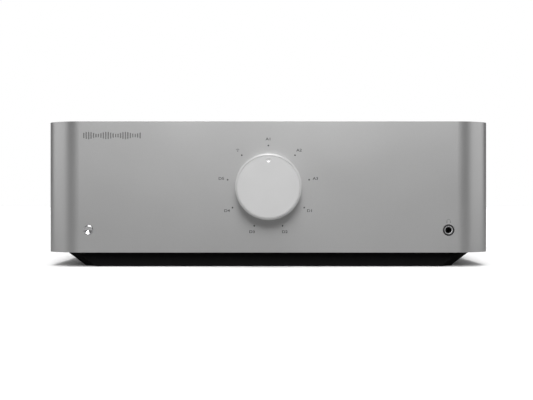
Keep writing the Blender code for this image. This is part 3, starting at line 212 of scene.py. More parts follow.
def block(name: str, size: Sequence[float], radius: float = 0.0, steps: int = 3) -> Mesh:
    """Make a box centred on its origin.

    Args:
        name: The mesh's name.
        size: Its three sides.
        radius: The rounding on its edges.
        steps: Segments in that rounding.

    Returns:
        The closed mesh.
    """
    form = bmesh.new()
    bmesh.ops.create_cube(form, size=1.0)
    bmesh.ops.scale(form, vec=Vector(size), verts=form.verts)
    if radius > 0:
        bmesh.ops.bevel(form, geom=form.edges[:], offset=radius, segments=steps, profile=0.5,
                        affect='EDGES')
    return finished(form, name)


def prism(name: str, outline: Sequence[Point], low: float, high: float, edge: float = 0.0,
          steps: int = 2) -> Mesh:
    """A flat outline drawn up from one height to another, with its rims rounded.

    Args:
        name: The mesh's name.
        outline: Points in X and Y.
        low: The lower height.
        high: The upper height.
        edge: The rounding on the two rims.
        steps: Segments in that rounding.

    Returns:
        The closed mesh.
    """
    form = bmesh.new()
    base = [form.verts.new((x, y, low)) for x, y in outline]
    lid = [form.verts.new((x, y, high)) for x, y in outline]
    floor = form.faces.new(list(reversed(base)))
    top = form.faces.new(lid)
    for left in range(len(base)):
        right = (left + 1) % len(base)
        form.faces.new((base[left], base[right], lid[right], lid[left]))
    if edge > 0:
        rims = list(floor.edges) + list(top.edges)
        bmesh.ops.bevel(form, geom=rims, offset=edge, segments=steps, profile=0.5, affect='EDGES')
    return finished(form, name)


def lettering(name: str, text: str, height: float, thickness: float) -> Mesh:
    """Make flat plain lettering, centred on its origin and facing +Z.

    Args:
        name: The mesh's name.
        text: What it says.
        height: The letters' height.
        thickness: How thick the ink is.

    Returns:
        The letters as one mesh.
    """
    curve = bpy.data.curves.new(name, 'FONT')
    curve.body = text
    curve.size = height
    curve.align_x = 'CENTER'
    curve.align_y = 'CENTER'
    curve.extrude = thickness / 2
    curve.offset = height * LETTER_WEIGHT
    curve.resolution_u = 3
    mesh = evaluated(temporary(name, curve))
    form = bmesh.new()
    form.from_mesh(mesh)
    bmesh.ops.scale(form, vec=Vector((LETTER_WIDTH, 1.0, 1.0)), verts=form.verts)
    bpy.data.meshes.remove(mesh)
    return finished(form, name)


def temporary(name: str, data: ID) -> Object:
    """Put a working shape in the scene, to be evaluated and removed.

    Args:
        name: Its name.
        data: Its mesh, curve or camera.

    Returns:
        The new object.
    """
    thing = bpy.data.objects.new(name, data)
    bpy.context.scene.collection.objects.link(thing)
    return thing


def evaluated(thing: Object) -> Mesh:
    """Bake a working object with its modifiers to a plain mesh, and remove it.

    Args:
        thing: The object, gone afterwards.

    Returns:
        The mesh.
    """
    graph = bpy.context.evaluated_depsgraph_get()
    mesh = bpy.data.meshes.new_from_object(thing.evaluated_get(graph))
    bpy.data.objects.remove(thing, do_unlink=True)
    return mesh


def moved(mesh: Mesh, place: Matrix) -> Mesh:
    """Move a mesh in place, and return it."""
    mesh.transform(place)
    return mesh


def shifted(mesh: Mesh, offset: Sequence[float]) -> Mesh:
    """Move a mesh along by an offset, and return it."""
    return moved(mesh, Matrix.Translation(offset))


def outward(mesh: Mesh) -> Mesh:
    """Turn a mesh's faces to look outwards after a mirroring move, and return it.

    Args:
        mesh: A closed mesh.

    Returns:
        The same mesh.
    """
    form = bmesh.new()
    form.from_mesh(mesh)
    bmesh.ops.recalc_face_normals(form, faces=form.faces)
    form.to_mesh(mesh)
    form.free()
    return mesh


def merged(name: str, meshes: Iterable[Mesh]) -> Mesh:
    """Gather several meshes into one, with each one's materials kept.

    Args:
        name: The new mesh's name.
        meshes: The meshes, which may hold materials.

    Returns:
        One mesh that holds them all.
    """
    form = bmesh.new()
    materials: list[Material] = []
    for mesh in meshes:
        first = len(form.faces)
        form.from_mesh(mesh)
        form.faces.ensure_lookup_table()
        for face in form.faces[first:]:
            if mesh.materials:
                material = mesh.materials[face.material_index]
                if material not in materials:
                    materials.append(material)
                face.material_index = materials.index(material)
    whole = bpy.data.meshes.new(name)
    form.to_mesh(whole)
    form.free()
    for material in materials:
        whole.materials.append(material)
    return whole


def combined(body: Mesh, tools: Iterable[Mesh], joining: Joining,
             sharp: float = CRISP_ANGLE) -> Mesh:
    """Cut shapes from a mesh, or add them to it.

    Args:
        body: The mesh to work on.
        tools: The cutting or added shapes.
        joining: Whether they are cut away or added.
        sharp: Edges steeper than this many degrees stay crisp.

    Returns:
        The new mesh.
    """
    work = temporary(body.name, body)
    held = []
    for tool in tools:
        other = temporary("tool", tool)
        step = work.modifiers.new("step", 'BOOLEAN')
        step.operation = joining.value
        step.solver = 'EXACT'
        step.material_mode = 'TRANSFER'
        step.object = other
        held.append(other)
    mesh = evaluated(work)
    for other in held:
        bpy.data.objects.remove(other, do_unlink=True)
    return evenly_shaded(mesh, sharp)


def evenly_shaded(mesh: Mesh, sharp: float) -> Mesh:
    """Shade a mesh smoothly, with its large flat faces kept flat.

    Args:
        mesh: The mesh to shade.
        sharp: Edges steeper than this many degrees stay crisp.

    Returns:
        The shaded mesh.
    """
    mesh.shade_smooth()
    mesh.set_sharp_from_angle(angle=math.radians(sharp))
    form = bmesh.new()
    form.from_mesh(mesh)
    planes: dict[tuple[int, ...], float] = {}
    keys = {}
    for face in form.faces:
        level = face.normal.dot(face.calc_center_median())
        key = tuple(round(value * NORMAL_STEPS)
                    for value in face.normal) + (round(level / PLANE_STEP),)
        keys[face] = key
        planes[key] = planes.get(key, 0.0) + face.calc_area()
    for edge in form.edges:
        beside = {keys[face] for face in edge.link_faces}
        if len(beside) > 1 and max(planes[key] for key in beside) > LARGE_FLAT:
            edge.smooth = False
    form.to_mesh(mesh)
    form.free()
    return mesh


def painted(mesh: Mesh, material: Material) -> Mesh:
    """Give a mesh one material, and return it.

    Args:
        mesh: The mesh.
        material: Its only material.

    Returns:
        The same mesh.
    """
    mesh.materials.clear()
    mesh.materials.append(material)
    return mesh


def place(name: str, mesh: Mesh, slot: str, body: str = CHASSIS,
          stands_for: Sequence[str] = ()) -> Object:
    """Add a finished piece, with its place in its mesh.

    Args:
        name: The piece's name.
        mesh: Its mesh, already in place and painted.
        slot: Not used.
        body: The body that it rides on.
        stands_for: CAD nodes that it replaces.

    Returns:
        The piece.
    """
    piece = bpy.data.objects.new(name, mesh)
    bpy.context.scene.collection.objects.link(piece)
    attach(piece, body)
    if stands_for:
        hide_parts(*stands_for)
    LOG.info("%s: %d faces on %s", name, len(mesh.polygons), body)
    return piece


def dress(node: str, material: Material) -> None:
    """Give a CAD node that stays in view its finish.

    Args:
        node: The node's name.
        material: Its finish.
    """
    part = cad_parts[node]
    part.data.materials.clear()
    part.data.materials.append(material)
    LOG.info("%s: CAD piece dressed", node)


# ---------------------------------------------------------------- node trees
def add_node(tree: NodeTree, kind: str, settings: dict[str, object] | None = None,
             inputs: dict[str, object] | None = None) -> Node:
    """Add a node to a tree and fill in its sockets.

    Args:
        tree: The geometry or shader tree.
        kind: The node's type.
        settings: Properties of the node itself.
        inputs: Socket values or links, by name or by iN for the Nth socket.

    Returns:
        The node.
    """
    node = tree.nodes.new(kind)
    for key, value in (settings or {}).items():
        setattr(node, key, value)
    for key, value in (inputs or {}).items():
        numbered = key[0] == "i" and key[1:].isdigit()
        socket = node.inputs[int(key[1:])] if numbered else node.inputs[key.replace("_", " ")]
        if isinstance(value, NodeSocket):
            tree.links.new(value, socket)
        else:
            socket.default_value = value
    return node


def maths(tree: NodeTree, operation: str, *values: object) -> NodeSocket:
    """Add a math node.

    Args:
        tree: The tree that it goes in.
        operation: What it works out.
        values: Its numbers or links, in order.

    Returns:
        Its result.
    """
    inputs = {f"i{number}": value for number, value in enumerate(values)}
    return add_node(tree, 'ShaderNodeMath', {"operation": operation}, inputs).outputs[0]


class NamedTree:
    """A node tree with named inputs and outputs, built once and used by many pieces."""

    def __init__(self, kind: str, name: str, inputs: dict[str, tuple[str, object]],
                 outputs: dict[str, str]) -> None:
        """Open a tree.

        Args:
            kind: The tree's type.
            name: The tree's name.
            inputs: Each input's socket type and starting value.
            outputs: Each output's socket type.
        """
        self.tree = bpy.data.node_groups.new(name, kind)
        self.keys: dict[str, str] = {}
        for label, (socket_type, value) in inputs.items():
            socket = self.tree.interface.new_socket(label, in_out='INPUT', socket_type=socket_type)
            if value is not None:
                socket.default_value = value
            self.keys[label] = socket.identifier
        for label, socket_type in outputs.items():
            self.tree.interface.new_socket(label, in_out='OUTPUT', socket_type=socket_type)
        self.start = self.tree.nodes.new('NodeGroupInput')
        self.end = self.tree.nodes.new('NodeGroupOutput')

    def given(self, label: str) -> NodeSocket:
        """Return one of the tree's inputs."""
        return self.start.outputs[label]

    def add(self, kind: str, settings: dict[str, object] | None = None, **inputs: object) -> Node:
        """Add a node, with its inputs by name or by iN for the Nth socket."""
        return add_node(self.tree, kind, settings, inputs)

    def maths(self, operation: str, *values: object) -> NodeSocket:
        """Add a math node and return its result."""
        return maths(self.tree, operation, *values)

    def result(self, label: str, socket: NodeSocket) -> None:
        """Send a value to one of the tree's outputs."""
        self.tree.links.new(socket, self.end.inputs[label])


# ---------------------------------------------------------------- geometry node trees
class ArrayTree(NamedTree):
    """A tree that repeats a seed mesh by a rule, and ends in Realize Instances and Set Material."""

    def __init__(self, name: str, numbers: dict[str, tuple[str, object]]) -> None:
        """Open a tree.

        Args:
            name: The tree's name.
            numbers: Each named input's socket type and starting value.
        """
        inputs = {"Seed": ('NodeSocketGeometry', None), **numbers,
                  "Material": ('NodeSocketMaterial', None)}
        super().__init__('GeometryNodeTree', name, inputs, {"Geometry": 'NodeSocketGeometry'})

    def close(self, instances: NodeSocket) -> ArrayTree:
        """Finish the tree with real meshes in one material, and return it.

        Args:
            instances: What the tree has placed.

        Returns:
            This tree.
        """
        real = self.add('GeometryNodeRealizeInstances', Geometry=instances)
        done = self.add('GeometryNodeSetMaterial', Geometry=real.outputs[0],
                        Material=self.given("Material"))
        self.result("Geometry", done.outputs[0])
        return self

    def grow(self, name: str, seed: Mesh, material: Material, **values: object) -> Mesh:
        """Run the tree on a seed mesh.

        Args:
            name: The new mesh's name.
            seed: The mesh that the tree repeats, or the points that it uses.
            material: What the result is made of.
            values: The tree's inputs, with underscores for spaces.

        Returns:
            A plain mesh.
        """
        work = temporary(name, seed)
        step = work.modifiers.new("array", 'NODES')
        step.node_group = self.tree
        step[self.keys["Material"]] = material
        for label, value in values.items():
            step[self.keys[label.replace("_", " ")]] = value
        mesh = evaluated(work)
        mesh.name = name
        return mesh


def row_tree() -> ArrayTree:
    """Build the tree that repeats a seed along a line, taller or shorter by a travelling wave."""
    tree = ArrayTree("row", {"Count": ('NodeSocketInt', 8),
            "Pitch": ('NodeSocketVector', (0.01, 0.0, 0.0)), "Wave": ('NodeSocketFloat', 0.0),
            "Beat": ('NodeSocketFloat', 1.0)})
    line = tree.add('GeometryNodeMeshLine', Count=tree.given("Count"), Offset=tree.given("Pitch"))
    index = tree.add('GeometryNodeInputIndex')
    angle = tree.maths('MULTIPLY', index.outputs[0], tree.given("Beat"))
    depth = tree.maths('MULTIPLY', tree.maths('SINE', angle), tree.given("Wave"))
    scale = tree.add('ShaderNodeCombineXYZ', X=1.0, Y=tree.maths('ADD', depth, 1.0), Z=1.0)
    copies = tree.add('GeometryNodeInstanceOnPoints', Points=line.outputs[0],
                      Instance=tree.given("Seed"), Scale=scale.outputs[0])
    return tree.close(copies.outputs[0])


def ring_tree() -> ArrayTree:
    """Build the tree that repeats a seed round +Z, each copy turned to face outwards."""
    tree = ArrayTree("ring", {"Count": ('NodeSocketInt', 12), "Radius": ('NodeSocketFloat', 0.01)})
    circle = tree.add('GeometryNodeMeshCircle', Vertices=tree.given("Count"),
                      Radius=tree.given("Radius"))
    index = tree.add('GeometryNodeInputIndex')
    share = tree.maths('DIVIDE', index.outputs[0], tree.given("Count"))
    turn = tree.add('ShaderNodeCombineXYZ', Z=tree.maths('MULTIPLY', share, math.tau))
    rotation = tree.add('FunctionNodeEulerToRotation', i0=turn.outputs[0])
    copies = tree.add('GeometryNodeInstanceOnPoints', Points=circle.outputs[0],
                      Instance=tree.given("Seed"), Rotation=rotation.outputs[0])
    return tree.close(copies.outputs[0])


def spot_tree() -> ArrayTree:
    """Build the tree that sets a fastener on each of the seed's points, at a chance angle."""
    tree = ArrayTree("spots", {"Fastener": ('NodeSocketObject', None),
            "Spread": ('NodeSocketFloat', 3.0), "Facing": ('NodeSocketVector', (0.0, 0.0, 0.0))})
    info = tree.add('GeometryNodeObjectInfo', Object=tree.given("Fastener"))
    chance = tree.add('FunctionNodeRandomValue', {"data_type": 'FLOAT'}, Seed=7)
    own = tree.add('ShaderNodeCombineXYZ', Z=tree.maths('MULTIPLY', chance.outputs[1],
            tree.given("Spread")))
    spin = tree.add('FunctionNodeEulerToRotation', i0=own.outputs[0])
    face = tree.add('FunctionNodeEulerToRotation', i0=tree.given("Facing"))
    both = tree.add('FunctionNodeRotateRotation', {"rotation_space": 'LOCAL'}, i0=face.outputs[0],
                    i1=spin.outputs[0])
    copies = tree.add('GeometryNodeInstanceOnPoints', Points=tree.given("Seed"),
                      Instance=info.outputs["Geometry"], Rotation=both.outputs[0])
    return tree.close(copies.outputs[0])


@dataclass
class Arrays:
    """The three repeating trees that the pieces share."""

    row: ArrayTree = field(default_factory=row_tree)
    ring: ArrayTree = field(default_factory=ring_tree)
    spots: ArrayTree = field(default_factory=spot_tree)

    def fasteners(self, name: str, head: Mesh, points: Sequence[Vector], facing: Facing,
                  material: Material) -> Mesh:
        """Set a fastener's head on each of several points.

        Args:
            name: The new mesh's name.
            head: One head, facing +Z.
            points: Where the heads go.
            facing: The way that they look.
            material: Their finish.

        Returns:
            All the heads as one mesh.
        """
        seed = bpy.data.meshes.new(name)
        seed.from_pydata(points, [], [])
        sample = temporary("sample", head)
        angles = tuple(facing.turn().to_euler())
        mesh = self.spots.grow(name, seed, material, Fastener=sample, Facing=angles)
        bpy.data.objects.remove(sample, do_unlink=True)
        mesh.shade_smooth()
        mesh.set_sharp_from_angle(angle=math.radians(CRISP_ANGLE))
        return mesh


# ---------------------------------------------------------------- effects shared by finishes
class Effect(NamedTree):
    """A shader node group that several finishes share."""

    def __init__(self, name: str, inputs: dict[str, tuple[str, object]],
                 outputs: dict[str, str]) -> None:
        """Open the group, as a named tree of the shader kind."""
        super().__init__('ShaderNodeTree', name, inputs, outputs)


def grain_effect() -> Effect:
    """Build fine grain: a fine mottle in colour and height, and a broad one in roughness."""
    effect = Effect("fine_grain", {"Colour": ('NodeSocketColor', (0.5, 0.5, 0.5, 1.0)),
            "Scale": ('NodeSocketFloat', 900.0), "Contrast": ('NodeSocketFloat', 0.1),
            "Roughness": ('NodeSocketFloat', 0.4), "Spread": ('NodeSocketFloat', 0.05)},
                    {"Colour": 'NodeSocketColor', "Roughness": 'NodeSocketFloat',
                     "Height": 'NodeSocketFloat'})
    where = effect.add('ShaderNodeTexCoord').outputs["Object"]
    fine = effect.add('ShaderNodeTexNoise', Vector=where, Scale=effect.given("Scale"), Detail=3.0)
    broad = effect.add('ShaderNodeTexNoise', Vector=where, Scale=14.0, Detail=2.0)
    centred = effect.maths('SUBTRACT', fine.outputs[0], 0.5)
    gain = effect.maths('ADD', effect.maths('MULTIPLY', centred, effect.given("Contrast")), 1.0)
    tint = effect.add('ShaderNodeVectorMath', {"operation": 'SCALE'}, i0=effect.given("Colour"),
                      Scale=gain)
    effect.result("Colour", tint.outputs[0])
    shift = effect.maths('MULTIPLY', effect.maths('SUBTRACT', broad.outputs[0], 0.5),
            effect.given("Spread"))
    effect.result("Roughness", effect.maths('ADD', effect.given("Roughness"), shift))
    effect.result("Height", fine.outputs[0])
    return effect


def wear_effect() -> Effect:
    """Build edge wear: a lighter tone along sharp outer edges, broken up by noise."""
    effect = Effect("edge_wear", {"Colour": ('NodeSocketColor', (0.5, 0.5, 0.5, 1.0)),
            "Bare": ('NodeSocketColor', (0.8, 0.8, 0.8, 1.0)), "Amount": ('NodeSocketFloat', 0.3)},
                    {"Colour": 'NodeSocketColor', "Mask": 'NodeSocketFloat'})
    where = effect.add('ShaderNodeTexCoord').outputs["Object"]
    flat = effect.add('ShaderNodeNewGeometry').outputs["Normal"]
    eased = effect.add('ShaderNodeBevel', {"samples": 4}, Radius=WEAR_REACH)
    agree = effect.add('ShaderNodeVectorMath', {"operation": 'DOT_PRODUCT'}, i0=flat,
                       i1=eased.outputs[0])
    sharp = effect.add('ShaderNodeMapRange', Value=agree.outputs["Value"], From_Min=0.98,
                       From_Max=0.75)
    broken = effect.add('ShaderNodeTexNoise', Vector=where, Scale=160.0, Detail=2.0)
    patchy = effect.maths('MULTIPLY', sharp.outputs[0], effect.maths('ADD', broken.outputs[0], 0.2))
    mask = effect.maths('MULTIPLY', patchy, effect.given("Amount"))
    mix = effect.add('ShaderNodeMix', {"data_type": 'RGBA'}, i0=mask, i6=effect.given("Colour"),
                     i7=effect.given("Bare"))
    effect.result("Colour", mix.outputs[2])
    effect.result("Mask", mask)
    return effect


def dust_effect() -> Effect:
    """Build settled dust: a thin pale film on faces that look up."""
    effect = Effect("settled_dust", {"Colour": ('NodeSocketColor', (0.5, 0.5, 0.5, 1.0)),
            "Amount": ('NodeSocketFloat', 0.1)}, {"Colour": 'NodeSocketColor',
            "Mask": 'NodeSocketFloat'})
    where = effect.add('ShaderNodeTexCoord').outputs["Object"]
    normal = effect.add('ShaderNodeNewGeometry').outputs["Normal"]
    height = effect.add('ShaderNodeSeparateXYZ', Vector=normal).outputs[2]
    facing = effect.add('ShaderNodeMapRange', Value=height, From_Min=0.5, From_Max=1.0)
    cloud = effect.add('ShaderNodeTexNoise', Vector=where, Scale=30.0, Detail=5.0)
    film = effect.maths('MULTIPLY', facing.outputs[0], cloud.outputs[0])
    mask = effect.maths('MULTIPLY', film, effect.given("Amount"))
    mix = effect.add('ShaderNodeMix', {"data_type": 'RGBA'}, i0=mask, i6=effect.given("Colour"),
                     i7=(0.55, 0.54, 0.52, 1.0))
    effect.result("Colour", mix.outputs[2])
    effect.result("Mask", mask)
    return effect


def rings_effect() -> Effect:
    """Build turning marks: fine circular grooves round a centre, on an axis along Y."""
    effect = Effect("turning_marks", {"Centre": ('NodeSocketVector', (0.0, 0.0, 0.0)),
            "Pitch": ('NodeSocketFloat', 0.0002)}, {"Height": 'NodeSocketFloat'})
    where = effect.add('ShaderNodeTexCoord').outputs["Object"]
    flat = effect.add('ShaderNodeVectorMath', {"operation": 'SUBTRACT'}, i0=where,
                      i1=effect.given("Centre"))
    across = effect.add('ShaderNodeVectorMath', {"operation": 'MULTIPLY'}, i0=flat.outputs[0],
                        i1=(1.0, 0.0, 1.0))
    radius = effect.add('ShaderNodeVectorMath', {"operation": 'LENGTH'},
                        i0=across.outputs[0]).outputs["Value"]
    turns = effect.maths('MULTIPLY', effect.maths('DIVIDE', radius, effect.given("Pitch")),
            math.tau)
    wobble = effect.add('ShaderNodeTexNoise', {"noise_dimensions": '1D'},
                        W=effect.maths('MULTIPLY', radius, 4000.0))
    groove = effect.maths('ADD', effect.maths('SINE', turns), wobble.outputs[0])
    effect.result("Height", groove)
    return effect


@dataclass
class Effects:
    """Every shared effect, built once."""

    grain: Effect = field(default_factory=grain_effect)
    wear: Effect = field(default_factory=wear_effect)
    dust: Effect = field(default_factory=dust_effect)
    rings: Effect = field(default_factory=rings_effect)


@dataclass(frozen=True)
class Finish:
    """A surface finish with grain, worn edges and a little dust.

    Attributes:
        name: The material's name.
        colour: Its base colour.
        roughness: Its middle roughness.
        metallic: 1 for bare metal.
        scale: Grain cells in a metre.
        contrast: Grain contrast in colour.
        spread: How far the roughness wanders.
        relief: Grain depth in metres.
        bare: Colour of a worn edge.
        wear: Amount of edge wear.
        dust: Amount of dust on faces that look up.
        coat: Weight of a clear coat.
        centre: Centre of turning marks, if the piece is turned.
        pitch: Distance between turning marks.
        groove: Depth of the turning marks.
        specular: Specular level of a non-metal.
    """

    name: str
    colour: Colour
    roughness: float
    metallic: float = 0.0
    scale: float = 900.0
    contrast: float = 0.10
    spread: float = 0.06
    relief: float = 4e-6
    bare: Colour = (0.6, 0.6, 0.6)
    wear: float = 0.25
    dust: float = 0.05
    coat: float = 0.0
    centre: Colour | None = None
    pitch: float = 0.0002
    groove: float = 4e-6
    specular: float = 0.5

    def make(self, effects: Effects) -> Material:
        """Build the material.

        Args:
            effects: The shared node groups.

        Returns:
            The finished material.
        """
        material = bpy.data.materials.new(self.name)
        material.use_nodes = True
        tree = material.node_tree
        shader = tree.nodes["Principled BSDF"]
        shader.inputs["Metallic"].default_value = self.metallic
        shader.inputs["Coat Weight"].default_value = self.coat
        shader.inputs["Specular IOR Level"].default_value = self.specular
        grain = self.group(tree, effects.grain, Colour=(*self.pattern_colour(), 1.0),
                           Scale=self.scale, Contrast=self.contrast, Roughness=self.roughness,
                           Spread=self.spread)
        self.paint(tree, grain)
        wear = self.group(tree, effects.wear, Colour=grain.outputs["Colour"],
                          Bare=(*self.bare, 1.0), Amount=self.wear)
        dust = self.group(tree, effects.dust, Colour=wear.outputs["Colour"], Amount=self.dust)
        tree.links.new(dust.outputs["Colour"], shader.inputs["Base Color"])
        tree.links.new(grain.outputs["Roughness"], shader.inputs["Roughness"])
        bump = add_node(tree, 'ShaderNodeBump', None, {"Strength": 1.0, "Distance": self.relief,
                "Height": grain.outputs["Height"]})
        if self.centre is not None:
            rings = self.group(tree, effects.rings, Centre=self.centre, Pitch=self.pitch)
            bump = add_node(tree, 'ShaderNodeBump', None, {"Strength": 1.0, "Distance": self.groove,
                    "Height": rings.outputs["Height"], "Normal": bump.outputs[0]})
        tree.links.new(bump.outputs[0], shader.inputs["Normal"])
        return material

    def group(self, tree: NodeTree, effect: Effect, **inputs: object) -> Node:
        """Place a shared effect in this material, with this finish's values.

        Args:
            tree: The material's tree.
            effect: The shared effect.
            inputs: Values or links for its inputs.

        Returns:
            The group's node.
        """
        node = tree.nodes.new('ShaderNodeGroup')
        node.node_tree = effect.tree
        for label, value in inputs.items():
            if isinstance(value, NodeSocket):
                tree.links.new(value, node.inputs[label])
            else:
                node.inputs[label].default_value = value
        return node

    def pattern_colour(self) -> Colour:
        """Return the colour that the grain starts from."""
        return self.colour

    def paint(self, tree: NodeTree, grain: Node) -> None:
        """Add this finish's own pattern to the grain's colour, if it has one."""


@dataclass(frozen=True)
class BoardFinish(Finish):
    """Green solder mask with darker rows of copper tracks under it."""

    track: Colour = (0.004, 0.045, 0.02)

    def paint(self, tree: NodeTree, grain: Node) -> None:
        """Lay the tracks under the mask.

        Args:
            tree: The material's tree.
            grain: The grain's node.
        """
        where = add_node(tree, 'ShaderNodeTexCoord').outputs["Object"]
        tracks = add_node(tree, 'ShaderNodeTexBrick', {"offset": 0.37}, {"Vector": where,
                "Color1": (*self.colour, 1.0), "Color2": (*self.colour, 1.0),
                "Mortar": (*self.track, 1.0), "Scale": 60.0, "Mortar Size": 0.02})
        tree.links.new(tracks.outputs["Color"], grain.inputs["Colour"])


@dataclass(frozen=True)
class TapeFinish(Finish):
    """Overlapping turns of varnished tape round a ring, as bands about a centre.

    Attributes:
        hub: The ring's centre in plan.
        turns: Bands in a full circle.
    """

    hub: Point = (0.0, 0.0)
    turns: float = 40.0

    def paint(self, tree: NodeTree, grain: Node) -> None:
        """Shade each overlap of the tape.

        Args:
            tree: The material's tree.
            grain: The grain's node.
        """
        where = add_node(tree, 'ShaderNodeTexCoord').outputs["Object"]
        flat = add_node(tree, 'ShaderNodeVectorMath', {"operation": 'SUBTRACT'},
                        {"i0": where, "i1": (*self.hub, 0.0)})
        split = add_node(tree, 'ShaderNodeSeparateXYZ', None, {"Vector": flat.outputs[0]})
        angle = maths(tree, 'ARCTAN2', split.outputs[1], split.outputs[0])
        lap = maths(tree, 'FRACT', maths(tree, 'MULTIPLY', angle, self.turns / math.tau))
        shades = add_node(tree, 'ShaderNodeMix', {"data_type": 'RGBA'},
                          {"i0": lap, "i6": (*self.colour, 1.0), "i7": (*self.bare, 1.0)})
        tree.links.new(shades.outputs[2], grain.inputs["Colour"])


# ---------------------------------------------------------------- light, floor and camera
@dataclass(frozen=True)
class SoftLight:
    """A large soft panel of light, far off in one direction.

    Attributes:
        azimuth: Degrees round from the front, towards +X.
        elevation: Degrees above the horizon.
        half_width: Half of its width in degrees.
        half_height: Half of its height in degrees.
        feather: Degrees over which its edges fade.
        strength: Its brightness.
    """

    azimuth: float
    elevation: float
    half_width: float
    half_height: float
    feather: float
    strength: float

    def across(self, tree: NodeTree, place: NodeSocket, centre: float,
               half: float) -> NodeSocket:
        """Return how much of the panel covers one angle.

        Args:
            tree: The world's tree.
            place: The angle looked at, in radians.
            centre: The panel's middle, in degrees.
            half: Its half-size, in degrees.

        Returns:
            A value from 0 outside to 1 inside.
        """
        gap = maths(tree, 'SUBTRACT', place, math.radians(centre))
        off = maths(tree, 'ABSOLUTE', maths(tree, 'WRAP', gap, math.pi, -math.pi))
        inside = math.radians(half - self.feather / 2)
        return add_node(tree, 'ShaderNodeMapRange', {"interpolation_type": 'SMOOTHSTEP'},
                        {"Value": off, "From Min": inside,
                         "From Max": inside + math.radians(self.feather), "To Min": 1.0,
                         "To Max": 0.0}).outputs[0]


@dataclass(frozen=True)
class Studio:
    """Pale floor, soft light from all round and a level camera.

    Attributes:
        lights: The soft patches of light.
        base: Light from everywhere.
        floor_size: The floor's side.
        floor_tone: How bright the camera sees the floor, so that it is plain white.
        floor_bounce: How much light the floor sends up to the object.
        distance: From the camera to the front of the wrap.
        height: The camera's height above the floor.
        offset: How far the camera stands to the left of the middle.
        lens: Its focal length in millimetres.
        lift: Its vertical shift.
    """

    lights: tuple[SoftLight, ...]
    base: float
    floor_size: float = 12.0
    floor_tone: float = 0.98
    floor_bounce: float = 0.30
    distance: float = 1.215
    height: float = 0.0735
    offset: float = 0.00195
    lens: float = 79.75
    lift: float = -0.0081

    def light(self) -> None:
        """Build the world: the soft lights, and plain white behind the object."""
        bpy.context.scene.view_settings.view_transform = 'Standard'
        world = bpy.data.worlds.new("studio")
        bpy.context.scene.world = world
        world.use_nodes = True
        tree = world.node_tree
        tree.nodes.clear()
        where = add_node(tree, 'ShaderNodeTexCoord').outputs["Generated"]
        parts = add_node(tree, 'ShaderNodeSeparateXYZ', None, {"Vector": where})
        around = maths(tree, 'ARCTAN2', parts.outputs[0],
                       maths(tree, 'MULTIPLY', parts.outputs[1], -1.0))
        up = maths(tree, 'ARCSINE', parts.outputs[2])
        total: object = self.base
        for lamp in self.lights:
            wide = lamp.across(tree, around, lamp.azimuth, lamp.half_width)
            high = lamp.across(tree, up, lamp.elevation, lamp.half_height)
            total = maths(tree, 'MULTIPLY_ADD', maths(tree, 'MULTIPLY', wide, high), lamp.strength,
                          total)
        room = add_node(tree, 'ShaderNodeBackground', None, {"Color": (1.0, 1.0, 1.0, 1.0),
                "Strength": total})
        white = add_node(tree, 'ShaderNodeBackground', None, {"Color": (1.0, 1.0, 1.0, 1.0),
                "Strength": 1.0})
        seen = add_node(tree, 'ShaderNodeLightPath').outputs["Is Camera Ray"]
        mix = add_node(tree, 'ShaderNodeMixShader', None,
                       {"i0": seen, "i1": room.outputs[0], "i2": white.outputs[0]})
        add_node(tree, 'ShaderNodeOutputWorld', None, {"Surface": mix.outputs[0]})

    def floor(self) -> None:
        """Lay the pale floor, clear from below so that the underside can be looked at."""
        form = bmesh.new()
        bmesh.ops.create_grid(form, x_segments=1, y_segments=1, size=self.floor_size / 2)
        mesh = bpy.data.meshes.new("floor")
        form.to_mesh(mesh)
        form.free()
        material = bpy.data.materials.new("pale_floor")
        material.use_nodes = True
        tree = material.node_tree
        tree.nodes.remove(tree.nodes["Principled BSDF"])
        seen = add_node(tree, 'ShaderNodeLightPath').outputs["Is Camera Ray"]
        tone = add_node(tree, 'ShaderNodeMix', {"data_type": 'RGBA'}, {"i0": seen,
                "i6": (*[self.floor_bounce] * 3, 1.0), "i7": (*[self.floor_tone] * 3, 1.0)})
        pale = add_node(tree, 'ShaderNodeBsdfDiffuse', None, {"Color": tone.outputs[2]})
        clear = add_node(tree, 'ShaderNodeBsdfTransparent')
        below = add_node(tree, 'ShaderNodeNewGeometry').outputs["Backfacing"]
        shader = add_node(tree, 'ShaderNodeMixShader', None, {"i0": below})
        tree.links.new(pale.outputs[0], shader.inputs[1])
        tree.links.new(clear.outputs[0], shader.inputs[2])
        tree.links.new(shader.outputs[0], tree.nodes["Material Output"].inputs["Surface"])
        mesh.materials.append(material)
        temporary("floor", mesh)

    def camera(self, front_y: float) -> None:
        """Set up the camera, level and square to the front.

        Args:
            front_y: Where the panel's face is.
        """
        data = bpy.data.cameras.new("camera")
        data.lens = self.lens
        data.sensor_width = 36.0
        data.shift_y = self.lift
        data.clip_start = 0.05
        data.clip_end = 50.0
        camera = temporary("camera", data)
        camera.location = (-self.offset, front_y - self.distance, self.height)
        camera.rotation_euler = (math.pi / 2, 0.0, 0.0)
        bpy.context.scene.camera = camera


STUDIO = Studio(lights=(SoftLight(azimuth=0, elevation=42, half_width=13, half_height=26,
        feather=10, strength=6.6), SoftLight(azimuth=0, elevation=38, half_width=6, half_height=22,
        feather=8, strength=8.4), SoftLight(azimuth=86, elevation=6, half_width=34, half_height=40,
        feather=22, strength=0.93), SoftLight(azimuth=-86, elevation=6, half_width=34,
        half_height=40, feather=22, strength=0.93), SoftLight(azimuth=180, elevation=36,
        half_width=24, half_height=34, feather=20, strength=0.9), SoftLight(azimuth=0, elevation=90,
        half_width=200, half_height=35, feather=20, strength=0.85),), base=0.14,)


